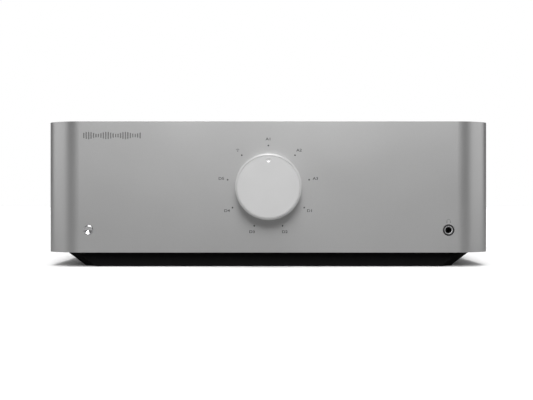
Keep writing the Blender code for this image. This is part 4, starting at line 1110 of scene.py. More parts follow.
# ---------------------------------------------------------------- finishes
ANODISED = Finish("anodised_grey", (0.47, 0.47, 0.47), 0.32, 0.92, scale=2600.0, contrast=0.16,
                  spread=0.05, relief=3e-6, bare=(0.78, 0.78, 0.78), wear=0.35, dust=0.04)
KNOB_SIDE = Finish("knob_aluminium", (0.58, 0.58, 0.58), 0.30, 0.95, scale=2200.0, contrast=0.08,
                   spread=0.04, relief=2e-6, bare=(0.9, 0.9, 0.9), wear=0.2, dust=0.03)
DIMPLE_CUT = Finish("bright_dimple", (0.80, 0.80, 0.80), 0.36, 0.35, contrast=0.03, spread=0.03,
                    relief=1e-6, bare=(0.95, 0.95, 0.95), wear=0.1)
# Painted shade: a dark metal finish on the engraved wave's grooves, standing in for the shade
# inside them.
GROOVE_SHADE = Finish("etched_metal", (0.17, 0.17, 0.17), 0.48, 0.6, scale=2600.0, contrast=0.15,
                relief=4e-6, bare=(0.4, 0.4, 0.4), wear=0.1)
BRIGHT_CUT = Finish("diamond_cut_rim", (0.50, 0.50, 0.50), 0.42, 0.35, contrast=0.03, spread=0.03,
                    relief=1e-6, bare=(0.95, 0.95, 0.95), wear=0.1)
CHROME = Finish("chrome", (0.86, 0.86, 0.87), 0.10, 1.0, contrast=0.03, spread=0.05, relief=1e-6,
                bare=(0.9, 0.9, 0.9), wear=0.1, dust=0.04)
ZINC = Finish("zinc_steel", (0.56, 0.56, 0.54), 0.38, 1.0, scale=240.0, contrast=0.22, spread=0.14,
              relief=5e-6, bare=(0.75, 0.75, 0.74), wear=0.3, dust=0.10)
SCREW_BLACK = Finish("blackened_screw", (0.045, 0.045, 0.047), 0.34, 0.8, scale=1500.0,
        contrast=0.2, bare=(0.4, 0.4, 0.4), wear=0.6)
PAINTED = Finish("black_textured_paint", (0.020, 0.020, 0.021), 0.48, 0.0, scale=2400.0,
                 contrast=0.35, spread=0.10, relief=3e-5, bare=(0.10, 0.10, 0.10), wear=0.30,
                 dust=0.05)
BASE_PAINT = Finish("base_black_paint", (0.0045, 0.0045, 0.0047), 0.62, 0.0, scale=1800.0,
                    contrast=0.3, spread=0.08, relief=1e-5, bare=(0.06, 0.06, 0.06), wear=0.25,
                    dust=0.02, specular=0.06)
BLACK_PLASTIC = Finish("matt_black_plastic", (0.017, 0.017, 0.018), 0.46, 0.0, scale=1600.0,
        contrast=0.22, relief=8e-6, bare=(0.09, 0.09, 0.09), wear=0.25, dust=0.05)
GLOSS_BLACK = Finish("gloss_black_cap", (0.012, 0.012, 0.013), 0.20, 0.0, contrast=0.12,
        relief=2e-6, bare=(0.07, 0.07, 0.07), wear=0.2, coat=0.5)
GLOSS_RED = Finish("gloss_red_cap", (0.43, 0.012, 0.014), 0.20, 0.0, contrast=0.10, relief=2e-6,
                   bare=(0.6, 0.10, 0.09), wear=0.2, coat=0.5)
INSERT_WHITE = Finish("white_insert", (0.72, 0.71, 0.69), 0.42, 0.0, contrast=0.05, relief=3e-6)
INSERT_ORANGE = Finish("orange_insert", (0.55, 0.15, 0.015), 0.42, 0.0, contrast=0.08, relief=3e-6)
RUBBER = Finish("rubber", (0.014, 0.014, 0.014), 0.82, 0.0, scale=1100.0, contrast=0.3, relief=2e-5,
                bare=(0.05, 0.05, 0.05), wear=0.2, dust=0.12)
GILT = Finish("gilt_brass", (0.83, 0.58, 0.24), 0.20, 1.0, contrast=0.06, spread=0.06, relief=1e-6,
              bare=(0.9, 0.68, 0.34), wear=0.15)
BOARD = BoardFinish("green_board", (0.006, 0.075, 0.034), 0.34, 0.0, scale=700.0, contrast=0.25,
                    relief=4e-6, bare=(0.4, 0.32, 0.12), wear=0.15, dust=0.10, coat=0.3)
SLEEVE = Finish("capacitor_sleeve", (0.014, 0.017, 0.030), 0.28, 0.0, contrast=0.12, relief=3e-6,
                dust=0.10, coat=0.3)
EPOXY = Finish("moulded_epoxy", (0.020, 0.020, 0.021), 0.55, 0.0, scale=1400.0, contrast=0.25,
               relief=1e-5, dust=0.08)
DARK_LENS = Finish("dark_lens", (0.030, 0.030, 0.032), 0.25, 0.0, contrast=0.10, relief=1e-6,
                   coat=0.4)
GREY_INK = Finish("grey_ink", (0.050, 0.050, 0.051), 0.60, 0.0, contrast=0.08, relief=2e-6)
PALE_INK = Finish("pale_ink", (0.60, 0.60, 0.60), 0.60, 0.0, contrast=0.08, relief=2e-6)
ICON_INK = Finish("icon_ink", (0.20, 0.20, 0.20), 0.55, 0.0, contrast=0.06, relief=2e-6)
# Painted shade: a dark finish on the walls of the indicator holes and the headphone bore, standing
# in for the shade inside these recesses.
RECESS_SHADE = Finish("etched_recess", (0.060, 0.060, 0.060), 0.50, 0.3, scale=2600.0, contrast=0.2,
                relief=4e-6)
FLAP_GREY = Finish("shutter_plastic", (0.05, 0.05, 0.052), 0.40, 0.0, scale=1500.0, contrast=0.2,
                   relief=6e-6)


class Workshop:
    """Keeps the shared effects, the repeating trees and each finish once it is made."""

    def __init__(self) -> None:
        """Set up the effects and the trees."""
        self.effects = Effects()
        self.arrays = Arrays()
        self.made: dict[str, Material] = {}

    def of(self, finish: Finish) -> Material:
        """Return a finish's material, made at its first use.

        Args:
            finish: The finish.

        Returns:
            Its material.
        """
        if finish.name not in self.made:
            self.made[finish.name] = finish.make(self.effects)
            LOG.info("finish %s", finish.name)
        return self.made[finish.name]

    def coat(self, mesh: Mesh, finish: Finish) -> Mesh:
        """Give a mesh one finish, and return it."""
        return painted(mesh, self.of(finish))

    def shaped(self, finish: Finish, body: Mesh, tools: Iterable[Mesh],
               joining: Joining = Joining.CUT) -> Mesh:
        """Cut shapes from a body or add them to it, all in one finish.

        Args:
            finish: The finish of the body and of the new faces.
            body: The mesh to work on.
            tools: The cutting or added shapes.
            joining: Whether they are cut away or added.

        Returns:
            The new mesh.
        """
        return combined(self.coat(body, finish), [self.coat(tool, finish) for tool in tools],
                        joining)


# ---------------------------------------------------------------- casework
def wrapped_plan(half_width: float, front_y: float, rear_y: float, radius: float,
                 steps: int) -> list[Point]:
    """Draw a plan with round front corners, from its rear left forwards to its rear right.

    Args:
        half_width: Half of its width.
        front_y: Where its front is.
        rear_y: Where its sides end.
        radius: The radius of the front corners.
        steps: Segments in each corner.

    Returns:
        The plan's points.
    """
    outline = [(-half_width, rear_y)]
    for centre_x, start in ((radius - half_width, math.pi), (half_width - radius, 1.5 * math.pi)):
        for step in range(steps + 1):
            angle = start + math.pi / 2 * step / steps
            outline.append((centre_x + radius * math.cos(angle),
                            front_y + radius + radius * math.sin(angle)))
    outline.append((half_width, rear_y))
    return outline


@dataclass
class Casework:
    """The aluminium wrap and lid, the black base and the feet.

    Attributes:
        shop: Finishes and trees.
        wall: The wrap's thickness.
        corner: Its outer corner radius.
        corner_steps: Segments in each corner.
        rim: Rounding on the wrap's rims.
        lid_rim: Rounding on the lid's edge.
        mark_width: Width of the engraved wave.
        mark_bars: Bars in it.
        mark_height: Height of its middle bars.
        mark_depth: How deep it is cut.
        mark_x: Its centre, from the middle.
        mark_rise: Its height over the panel's middle.
        fin_pitch: Distance between two vent slots.
        slot_width: Width of a slot.
        slot_length: Length of a slot.
        slot_edge: From the end of a slot to the wrap.
        base_chamfer: Cut corner of the base in plan.
        base_taper: How far its sides slope in.
        base_flare: How far its upper edge stands out on each side.
        base_setback: From the front of the wrap to the front of the base.
        skirt_gap: Between the base's skirt and the floor.
        hole_lead: Countersink on a hole's lip.
        spindle_hole: Radius of the middle hole.
        button_hole: Radius of the power button's hole.
        jack_hole: Radius of the headphone ring's hole.
        case: The box of the wrap.
    """

    shop: Workshop
    wall: float = 5.0 * MM
    corner: float = 35.0 * MM
    corner_steps: int = 28
    rim: float = 0.7 * MM
    lid_rim: float = 0.4 * MM
    mark_width: float = 58.0 * MM
    mark_bars: int = 24
    mark_height: float = 8.0 * MM
    mark_depth: float = 0.45 * MM
    mark_x: float = -161.0 * MM
    mark_rise: float = 52.9 * MM
    fin_pitch: float = 12.0 * MM
    slot_width: float = 3.5 * MM
    slot_length: float = 22.0 * MM
    slot_edge: float = 6.0 * MM
    base_chamfer: float = 12.0 * MM
    base_taper: float = 15.0 * MM
    base_flare: float = 4.0 * MM
    base_setback: float = 14.0 * MM
    skirt_gap: float = 0.4 * MM
    hole_lead: float = 0.3 * MM
    spindle_hole: float = 10.3 * MM
    button_hole: float = 5.05 * MM
    jack_hole: float = 5.72 * MM
    case: Extent = field(default_factory=lambda: Extent.of("front_wrap"))

    def bore(self, x: float, z: float, radius: float, lead: float) -> Mesh:
        """Make a cutter for a hole through the front, with a countersunk lip.

        Args:
            x: Its centre's place across.
            z: Its centre's height.
            radius: Its radius.
            lead: The countersink's width and depth.

        Returns:
            The cutter, in place.
        """
        reach = 2 * self.wall
        profile = [(0.0, reach), (radius + lead, reach), (radius + lead, lead * 0.02),
                   (radius, -lead), (radius, -reach), (0.0, -reach)]
        return moved(turned("bore", profile, 48), Facing.FRONT.at(x, self.case.low.y, z))

    def wave(self) -> Mesh:
        """Return the cutter for the engraved wave: round-ended bars that swell and shrink."""
        pitch = self.mark_width / (self.mark_bars - 1)
        half, tall = pitch * 0.27, self.mark_height * 0.36
        bar = prism("bar", pane(half, tall, half, 3), -self.mark_depth, 2 * self.mark_depth)
        # The grooves' cut faces take the darker groove finish, as painted shade.
        row = self.shop.arrays.row.grow("wave", bar, self.shop.of(GROOVE_SHADE), Count=self.mark_bars,
                                        Pitch=(pitch, 0.0, 0.0), Wave=0.38, Beat=0.83)
        z = self.case.centre.z + self.mark_rise
        return moved(row, Facing.FRONT.at(self.mark_x - self.mark_width / 2, self.case.low.y, z))

    def front(self, spindle: Extent, button: Extent, jack: Extent, dots: Mesh) -> None:
        """Build the wrap round the front and both sides, with its holes and engraving.

        Args:
            spindle: The bush in the middle hole.
            button: The power button.
            jack: The ring round the headphone socket.
            dots: Cutters for the indicator holes.
        """
        low, high = self.case.low, self.case.high
        outer = wrapped_plan(high.x, low.y, high.y, self.corner, self.corner_steps)
        inner = wrapped_plan(high.x - self.wall, low.y + self.wall, high.y, self.corner - self.wall,
                             self.corner_steps)
        shell = self.shop.coat(prism("front_wrap", outer + inner[::-1], low.z, high.z, self.rim, 3),
                ANODISED)
        lead = self.hole_lead
        holes = ((spindle, self.spindle_hole, lead), (button, self.button_hole, lead / 2),
                 (jack, self.jack_hole, lead))
        tools = [self.bore(box.centre.x, box.centre.z, radius, lip) for box, radius, lip in holes]
        tools += [dots, self.wave()]
        place("wrap_shell", combined(shell, tools, Joining.CUT, CUT_ANGLE), "wrap_aluminium",
              stands_for=["front_wrap"])

    def lid(self) -> None:
        """Build the lid, with a round-ended slot over each gap between two fins."""
        box = Extent.of("top_cover")
        radius = self.corner - self.wall - 0.3 * MM
        plan = wrapped_plan(box.high.x, box.low.y, box.high.y, radius, self.corner_steps)
        panel = self.shop.coat(prism("top_cover", plan, box.low.z, box.high.z, self.lid_rim, 2),
                ANODISED)
        half, end = self.slot_length / 2, self.slot_width / 2
        seed = prism("slot", pane(half, end, end), -5 * MM, 5 * MM)
        fins = Extent.of("heatsink_left")
        count = int((fins.size.y - 3 * MM) / self.fin_pitch)
        first_y = fins.centre.y - (count - 1) * self.fin_pitch / 2
        tools = []
        for side in (-1, 1):
            x = side * (box.high.x - self.slot_edge - half)
            row = self.shop.arrays.row.grow("slots", seed.copy(), self.shop.of(ANODISED),
                    Count=count, Pitch=(0.0, self.fin_pitch, 0.0))
            tools.append(shifted(row, (x, first_y, box.centre.z)))
        place("lid_panel", combined(panel, tools, Joining.CUT, CUT_ANGLE), "cover_aluminium",
              stands_for=["top_cover"])

    def base(self) -> None:
        """Build the black base: a pan with cut corners and sides that slope in."""
        box = Extent.of("plinth")
        wall, lip = 2.0 * MM, 4.0 * MM
        form = bmesh.new()
        rings = []
        taper = self.base_taper
        levels = ((taper, lip + 1.0 * MM, box.low.z), (taper, lip, self.skirt_gap),
                  (taper, 0.0, self.skirt_gap), (-self.base_flare, 0.0, box.high.z),
                  (-self.base_flare, wall, box.high.z), (taper, wall, box.low.z + wall))
        for slope, skin, z in levels:
            half_x = box.high.x - slope - skin
            front = self.case.low.y + self.base_setback + skin
            back = box.high.y - max(slope, 0.0) - skin
            middle, half_y = (front + back) / 2, (back - front) / 2
            cut = self.base_chamfer
            plan = []
            for sx, sy in ((1, -1), (1, 1), (-1, 1), (-1, -1)):
                pair = [(sx * half_x, sy * (half_y - cut)), (sx * (half_x - cut), sy * half_y)]
                plan += pair if sx * sy > 0 else pair[::-1]
            rings.append([form.verts.new((x, middle + y, z)) for x, y in plan])
        form.faces.new(rings[0])
        for lower, upper in zip(rings, rings[1:]):
            for left in range(len(lower)):
                right = (left + 1) % len(lower)
                form.faces.new((lower[left], lower[right], upper[right], upper[left]))
        form.faces.new(rings[-1])
        edges = [edge for edge in form.edges if edge.calc_face_angle(0.0) > math.radians(20)]
        bmesh.ops.bevel(form, geom=edges, offset=0.5 * MM, segments=2, profile=0.5, affect='EDGES')
        pan = self.shop.coat(finished(form, "plinth", 40), BASE_PAINT)
        tools = []
        for node in [f"foot_{end}_{side}" for end in ("front", "rear") for side in SIDES]:
            foot = Extent.of(node)
            hole = plug("hole", 8.3 * MM, -wall, 5 * wall, 32)
            tools.append(shifted(hole, (foot.centre.x, foot.centre.y, box.low.z)))
            self.foot(node, foot)
        place("base_pan", combined(pan, tools, Joining.CUT), "black_metal", stands_for=["plinth"])

    def foot(self, node: str, box: Extent) -> None:
        """Build one rubber foot: a disc with a rounded tread, and the spigot that holds it.

        Args:
            node: The CAD node that it replaces.
            box: That node's box.
        """
        radius, rim = box.size.x / 2, 1.7 * MM
        profile = [(0.0, box.high.z), (7.6 * MM, box.high.z), (8.0 * MM, box.high.z - 0.4 * MM),
                   (8.0 * MM, rim), (radius - 0.3 * MM, rim), (radius, rim - 0.3 * MM),
                   (radius, 0.5 * MM), (radius - 0.5 * MM, 0.0), (radius - 2.5 * MM, 0.0),
                   (radius - 3.0 * MM, 0.4 * MM), (radius - 4.0 * MM, 0.4 * MM),
                   (radius - 4.5 * MM, 0.0), (0.0, 0.0)]
        mesh = shifted(turned(node, profile, 64), (box.centre.x, box.centre.y, 0.0))
        place(f"{node}_pad", self.shop.coat(mesh, RUBBER), "rubber", stands_for=[node])


# ---------------------------------------------------------------- front controls
@dataclass
class FrontControls:
    """Volume knob, source ring, power button, headphone socket and the marks round the knob.

    Attributes:
        shop: Finishes and trees.
        dot_radius: Size of an indicator.
        dot_circle: Radius of the circle of indicators.
        dot_count: How many there are.
        label_circle: Radius of the circle of labels.
        label_height: Letter height.
        print_depth: How far ink stands on the panel.
        sign_rise: From the headphone socket up to its sign.
        labels: The sources' names, clockwise from the top.
        knob: The volume knob's box.
        ring: The source ring's box.
        button: The power button's box.
        bezel: The box of the headphone socket's ring.
        panel_y: The panel's face.
    """

    shop: Workshop
    dot_radius: float = 0.85 * MM
    dot_circle: float = 42.6 * MM
    dot_count: int = 9
    label_circle: float = 49.2 * MM
    label_height: float = 3.9 * MM
    print_depth: float = 0.04 * MM
    sign_rise: float = 9.2 * MM
    labels: tuple[str, ...] = ("A1", "A2", "A3", "D1", "D2", "D3", "D4", "D5")
    knob: Extent = field(default_factory=lambda: Extent.of("volume_knob"))
    ring: Extent = field(default_factory=lambda: Extent.of("selector_ring"))
    button: Extent = field(default_factory=lambda: Extent.of("power_button"))
    bezel: Extent = field(default_factory=lambda: Extent.of("jack_ring"))
    panel_y: float = field(default_factory=lambda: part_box("front_wrap")[0][1])

    def dots(self, radius: float, low: float, high: float, material: Material) -> Mesh:
        """Make a circle of small cylinders on the panel, one at the top.

        Args:
            radius: Their radius.
            low: Where they start, from the panel's face.
            high: Where they end.
            material: What they are made of.

        Returns:
            The cylinders as one mesh.
        """
        seed = plug("dot", radius, low, high, 20)
        ring = self.shop.arrays.ring.grow("dots", seed, material, Count=self.dot_count,
                Radius=self.dot_circle)
        top = Matrix.Rotation(math.pi / 2, 4, 'Z')
        return moved(ring, Facing.FRONT.at(0.0, self.panel_y, self.knob.centre.z) @ top)

    def indicators(self) -> None:
        """Set the dark lenses of the indicators in their holes."""
        mesh = self.dots(self.dot_radius - 0.05 * MM, -1.2 * MM, -0.12 * MM,
                         self.shop.of(DARK_LENS))
        place("indicator_lenses", mesh, "black_plastic")

    def legend(self) -> None:
        """Print each source's name outside its indicator, and the two signs."""
        words = []
        signs = [lettering("label", text, self.label_height, self.print_depth)
                 for text in self.labels]
        for number, sign in enumerate([*signs, self.wireless_sign()]):
            angle = math.tau * number / self.dot_count
            x, z = self.label_circle * math.sin(angle), self.label_circle * math.cos(angle)
            words.append(moved(sign, Facing.FRONT.at(x, self.panel_y, self.knob.centre.z + z)))
        place("source_labels", self.shop.coat(merged("source_labels", words), GREY_INK),
              "black_plastic")
        over = Facing.FRONT.at(self.bezel.centre.x, self.panel_y,
                self.bezel.centre.z + self.sign_rise)
        sign = moved(self.headphone_sign(), over)
        place("headphone_sign", self.shop.coat(sign, ICON_INK), "chrome")

    def arc(self, radius: float, centre: Point, start: float, end: float, thick: float) -> Mesh:
        """Make a flat printed arc.

        Args:
            radius: The radius of its middle.
            centre: Its centre.
            start: Where it starts, in degrees.
            end: Where it ends.
            thick: The line's width.

        Returns:
            The arc, on its origin's plane.
        """
        outline = []
        for reach, span in ((radius + thick / 2, (start, end)), (radius - thick / 2, (end, start))):
            for step in range(13):
                angle = math.radians(span[0] + (span[1] - span[0]) * step / 12)
                outline.append((centre[0] + reach * math.cos(angle),
                                centre[1] + reach * math.sin(angle)))
        return prism("arc", outline, -self.print_depth / 2, self.print_depth / 2)

    def wireless_sign(self) -> Mesh:
        """Return a dot with two arcs over it."""
        dot = plug("dot", 0.42 * MM, -self.print_depth / 2, self.print_depth / 2, 16)
        parts = [shifted(dot, (0.0, -1.0 * MM, 0.0))]
        for radius in (1.3 * MM, 2.3 * MM):
            parts.append(self.arc(radius, (0.0, -1.0 * MM), 45, 135, 0.38 * MM))
        return merged("wireless_sign", parts)

    def headphone_sign(self) -> Mesh:
        """Return a head band with two ear pads."""
        parts = [self.arc(2.0 * MM, (0.0, -0.2 * MM), -8, 188, 0.42 * MM)]
        for side in (-1, 1):
            pad = block("pad", (0.95 * MM, 1.9 * MM, self.print_depth))
            parts.append(shifted(pad, (side * 1.75 * MM, -1.15 * MM, 0.0)))
        return merged("headphone_sign", parts)

    def behind(self, box: Extent) -> Matrix:
        """Return the transform to the back of a box's middle, looking to the front."""
        return Facing.FRONT.at(box.centre.x, box.high.y, box.centre.z)

    def volume_knob(self) -> None:
        """Build the knob: flat face with a fine groove, bright chamfer, dimple and hollow back."""
        box = self.knob
        radius, deep = box.size.x / 2, box.size.y
        body = self.shop.coat(turned("body", [(0.0, deep), (31.0 * MM, deep),
                (31.1 * MM, deep - 0.5 * MM), (31.5 * MM, deep - 0.5 * MM), (31.6 * MM, deep),
                (31.8 * MM, deep), (radius, deep - 1.1 * MM), (radius, 0.9 * MM),
                (radius - 0.5 * MM, 0.4 * MM), (radius - 0.5 * MM, 0.0), (radius - 3.0 * MM, 0.0),
                (radius - 3.4 * MM, 5.0 * MM), (9.5 * MM, 5.0 * MM), (9.0 * MM, 0.0),
                (4.3 * MM, 0.0), (4.3 * MM, 12.3 * MM), (0.0, 12.3 * MM)], 160), self.face_finish())
        body.materials.append(self.shop.of(BRIGHT_CUT))
        body.materials.append(self.shop.of(KNOB_SIDE))
        for face in body.polygons:
            reach = math.hypot(face.center.x, face.center.y)
            if face.center.z > deep - 1.1 * MM and reach > 31.55 * MM:
                face.material_index = 1
            elif face.center.z < deep - 0.6 * MM:
                face.material_index = 2
        sphere = bmesh.new()
        ball, depth = 2.9 * MM, 0.9 * MM
        bmesh.ops.create_uvsphere(sphere, u_segments=48, v_segments=32, radius=ball)
        dimple = self.shop.coat(finished(sphere, "dimple"), DIMPLE_CUT)
        dimple = shifted(dimple, (0.0, 26.5 * MM, deep + ball - depth))
        knob = moved(combined(body, [dimple], Joining.CUT, 24), self.behind(box))
        place("knob_body", knob, "knob_aluminium", "volume_dial", ["volume_knob"])

    def face_finish(self) -> Finish:
        """Return the finish of the knob's face, with turning marks about its own axis."""
        return Finish("turned_face", (0.51, 0.51, 0.51), 0.44, 0.30, scale=2600.0, contrast=0.06,
                      spread=0.03, relief=2e-6, bare=(0.9, 0.9, 0.9), wear=0.1,
                      centre=tuple(self.knob.centre), pitch=0.00016, groove=3e-6)

    def source_ring(self) -> None:
        """Build the ring behind the knob, with a shallow grip groove round it."""
        box = self.ring
        radius, deep = box.size.x / 2, box.size.y
        profile = [(radius - 0.9 * MM, deep), (radius - 0.3 * MM, deep - 0.15 * MM),
                   (radius, deep - 0.5 * MM), (radius, 0.8 * MM), (radius - 0.4 * MM, 0.3 * MM),
                   (radius - 0.9 * MM, 0.0), (7.3 * MM, 0.0), (7.3 * MM, deep)]
        mesh = moved(turned("source_ring", profile, 160, closed=True), self.behind(box))
        place("source_ring", self.shop.coat(mesh, KNOB_SIDE), "knob_aluminium", "source_dial",
              ["selector_ring"])

    def power_key(self) -> None:
        """Build the power button: dished, spun bright face on a collar, with its stem."""
        box = self.button
        deep, radius = box.size.y, 4.9 * MM
        collar, ridge, ridges, groove = 6.2 * MM, 0.22 * MM, 19, 0.006 * MM
        dish = math.tan(math.radians(10))
        spun = [(0.0, deep - ridges * ridge * dish)]
        for step in range(1, ridges + 1):
            spun.append((step * ridge, deep - (ridges - step) * ridge * dish - (step % 2) * groove))
        profile = spun + [
            (radius - 0.40 * MM, deep - 0.05 * MM), (radius - 0.12 * MM, deep - 0.20 * MM),
            (radius, deep - 0.45 * MM), (radius, deep - collar),
            (box.size.x / 2, deep - collar), (box.size.x / 2, deep - collar - 1.0 * MM),
            (2.0 * MM, deep - collar - 1.0 * MM), (2.0 * MM, 0.4 * MM), (1.6 * MM, 0.0), (0.0, 0.0)]
        mesh = moved(turned("power_key", profile, 72), self.behind(box))
        place("power_key", self.shop.coat(mesh, CHROME), "chrome", "power_button", ["power_button"])

    def headphone_socket(self) -> None:
        """Build the socket: black ring and deep dark bore, both painted shade; bright barrel; and
        body.
        """
        box = self.bezel
        at = Facing.FRONT.at(box.centre.x, self.panel_y, box.centre.z)
        proud, back = self.panel_y - box.low.y, self.panel_y - box.high.y
        outer, inner, flange = 5.65 * MM, 4.8 * MM, box.size.x / 2
        profile = [(inner, proud - 0.15 * MM), (inner + 0.15 * MM, proud),
                   (outer - 0.3 * MM, proud), (outer, proud - 0.3 * MM), (outer, back + 1.0 * MM),
                   (flange, back + 1.0 * MM), (flange, back), (inner, back)]
        # The gloss black ring fills the gap round the barrel; its black is painted shade of that
        # gap.
        ring = moved(turned("jack_bezel", profile, 64, closed=True), at)
        place("jack_bezel", self.shop.coat(ring, GLOSS_BLACK), "black_plastic",
              stands_for=["jack_ring"])
        body = Extent.of("headphone_jack")
        deep, bore, barrel = 26.0 * MM, 3.175 * MM, 4.5 * MM
        profile = [(bore, proud / 2 - 0.4 * MM), (bore + 0.4 * MM, proud / 2),
                   (barrel - 0.2 * MM, proud / 2), (barrel, proud / 2 - 0.2 * MM),
                   (barrel, -7.0 * MM), (barrel - 0.5 * MM, -7.0 * MM), (barrel - 0.5 * MM, -deep),
                   (0.0, -deep), (0.0, -deep + 1.0 * MM), (bore, -deep + 1.0 * MM)]
        sleeve = self.shop.coat(turned("sleeve", profile, 64, closed=True), CHROME)
        # The bore's walls and floor take the dark recess finish, as painted shade inside the
        # socket.
        sleeve.materials.append(self.shop.of(RECESS_SHADE))
        for face in sleeve.polygons:
            if math.hypot(face.center.x, face.center.y) < bore + 0.1 * MM:
                face.material_index = 1
        parts = [moved(sleeve, at)]
        shell = block("shell", (body.size.x, 28 * MM, body.size.z), 0.6 * MM)
        shell = shifted(shell, (body.centre.x, body.high.y - 14 * MM, body.centre.z))
        hole = moved(plug("hole", barrel + 0.02 * MM, -deep - 0.5 * MM, 20 * MM, 64), at)
        parts.append(self.shop.shaped(BLACK_PLASTIC, shell, [hole]))
        place("jack_socket", merged("jack_socket", parts), "chrome", stands_for=["headphone_jack"])


def build_front(shop: Workshop) -> None:
    """Build the casework and everything on its front.

    Args:
        shop: Finishes and trees.
    """
    controls = FrontControls(shop)
    casework = Casework(shop)
    # The indicator holes' cut walls take the dark recess finish, as painted shade.
    holes = controls.dots(controls.dot_radius, -0.8 * MM, 2 * MM, shop.of(RECESS_SHADE))
    casework.front(Extent.of("spindle_bush"), controls.button, controls.bezel, holes)
    casework.lid()
    casework.base()
    controls.indicators()
    controls.legend()
    controls.volume_knob()
    controls.source_ring()
    controls.power_key()
    controls.headphone_socket()


# ---------------------------------------------------------------- rear panel
@dataclass
class RearPanel:
    """The steel rear panel with its legends, screws and sockets.

    Attributes:
        shop: Finishes and trees.
        panel: The panel's box.
        cap_flutes: Flutes round a speaker cap.
        flute_radius: Size of a flute.
        screw_radius: Radius of a panel screw's head.
        bezel: Rounding on moulded edges.
        text_height: Height of the socket legends.
        print_depth: How far ink stands on the panel.
        post_hole: Radius of a speaker post's hole.
        balanced_hole: Radius of a balanced socket's hole.
        phono_hole: Radius of a phono socket's hole.
        phono_edge: From an outer phono socket to the end of its block.
        phono_half: Half of the height between two phono sockets.
    """

    shop: Workshop
    panel: Extent = field(default_factory=lambda: Extent.of("rear_panel"))
    cap_flutes: int = 24
    flute_radius: float = 0.55 * MM
    screw_radius: float = 2.6 * MM
    bezel: float = 0.5 * MM
    text_height: float = 3.6 * MM
    print_depth: float = 0.05 * MM
    post_hole: float = 6.4 * MM
    balanced_hole: float = 11.9 * MM
    phono_hole: float = 4.6 * MM
    phono_edge: float = 8.0 * MM
    phono_half: float = 9.0 * MM

    @property
    def face_y(self) -> float:
        """The outer face of the panel."""
        return self.panel.high.y

    def at(self, x: float, z: float, proud: float = 0.0) -> Matrix:
        """Return the transform for a piece on the panel that looks to the rear."""
        return Facing.REAR.at(x, self.face_y + proud, z)

    def window(self, box: Extent, gap: float) -> Mesh:
        """Return a cutter for a rounded opening round a socket's body."""
        size = (box.size.x + 2 * gap, 10 * MM, box.size.z + 2 * gap)
        return shifted(block("window", size), (box.centre.x, self.face_y, box.centre.z))

    def hole(self, x: float, z: float, radius: float) -> Mesh:
        """Return a cutter for a round hole in the panel."""
        return moved(plug("hole", radius, -5 * MM, 5 * MM, 40), self.at(x, z))

    def plate(self) -> None:
        """Build the panel with a hole or a window for each socket."""
        sheet = self.shop.coat(block("rear_panel", self.panel.size, 0.35 * MM), PAINTED)
        sheet = shifted(sheet, self.panel.centre)
        tools = [self.hole(x, z, self.post_hole) for x, z in self.posts().values()]
        for side in SIDES:
            box = Extent.of(f"balanced_socket_{side}")
            tools.append(self.hole(box.centre.x, box.centre.z, self.balanced_hole))
        tools += [self.hole(x, z, self.phono_hole) for x, z in self.phonos()]
        for node, width, height in (("mains_inlet", 27.5 * MM, 20.0 * MM),
                ("rocker_housing", 16.3 * MM, 25.3 * MM), ("digital_block", 45.0 * MM, 13.5 * MM),
                ("data_socket", 12.0 * MM, 12.0 * MM), ("audio_return_socket", 16.5 * MM,
                7.5 * MM)):
            middle = Extent.of(node).centre
            box = Extent(middle - Vector((width, 0, height)) / 2,
                         middle + Vector((width, 0, height)) / 2)
            tools.append(self.window(box, 0.4 * MM))
        place("rear_plate", combined(sheet, tools, Joining.CUT), "black_metal",
              stands_for=["rear_panel"])

    def posts(self) -> dict[str, Point]:
        """Return each speaker post's name and its place on the panel."""
        places = {}
        for side in SIDES:
            for row in ROWS:
                middle = Extent.of(f"post_cap_{side}_{row}").centre
                places[f"{side}_{row}"] = (middle.x, middle.z)
        return places

    def phonos(self) -> list[Point]:
        """Return the centre of each phono socket."""
        box = Extent.of("phono_block")
        xs = (box.low.x + self.phono_edge, box.centre.x, box.high.x - self.phono_edge)
        return [(x, box.centre.z + sign * self.phono_half) for x in xs for sign in (-1, 1)]

    def speaker_posts(self) -> None:
        """Build the four speaker posts: flanged stud, washer collar and fluted cap."""
        for side in SIDES:
            box = Extent.of(f"speaker_block_{side}")
            parts = []
            thickness = 6.0 * MM
            bar = block("bar", (box.size.x, thickness, box.size.z), 0.6 * MM)
            parts.append(self.shop.coat(shifted(bar, (box.centre.x, box.low.y + thickness / 2,
                    box.centre.z)), BLACK_PLASTIC))
            for row in ROWS:
                x, z = self.posts()[f"{side}_{row}"]
                flange = turned("flange", [(3.0 * MM, 4.0 * MM), (9.9 * MM, 4.0 * MM),
                        (10.5 * MM, 3.4 * MM), (10.5 * MM, 0.3 * MM), (6.0 * MM, 0.3 * MM),
                        (6.0 * MM, -2.0 * MM), (3.0 * MM, -2.0 * MM)], 48, closed=True)
                colour = GLOSS_RED if row == "plus" else GLOSS_BLACK
                parts.append(self.shop.coat(moved(flange, self.at(x, z)), colour))
                stud = [(2.1 * MM, 18.9 * MM), (2.9 * MM, 18.9 * MM), (3.0 * MM, 18.7 * MM)]
                for turn in range(14):
                    stud += [(3.0 * MM, (18.4 - turn) * MM), (2.75 * MM, (17.9 - turn) * MM)]
                stud += [(3.0 * MM, 4.0 * MM), (3.0 * MM, -3.0 * MM), (0.0, -3.0 * MM),
                         (0.0, 5.6 * MM), (2.1 * MM, 5.6 * MM)]
                parts.append(self.shop.coat(moved(turned("stud", stud, 40, closed=True),
                        self.at(x, z)), GILT))
            place(f"speaker_post_{side}", merged(f"speaker_post_{side}", parts), "gilt_brass",
                  stands_for=[f"speaker_block_{side}"])
        for name, (x, z) in self.posts().items():
            self.cap(name, x, z)

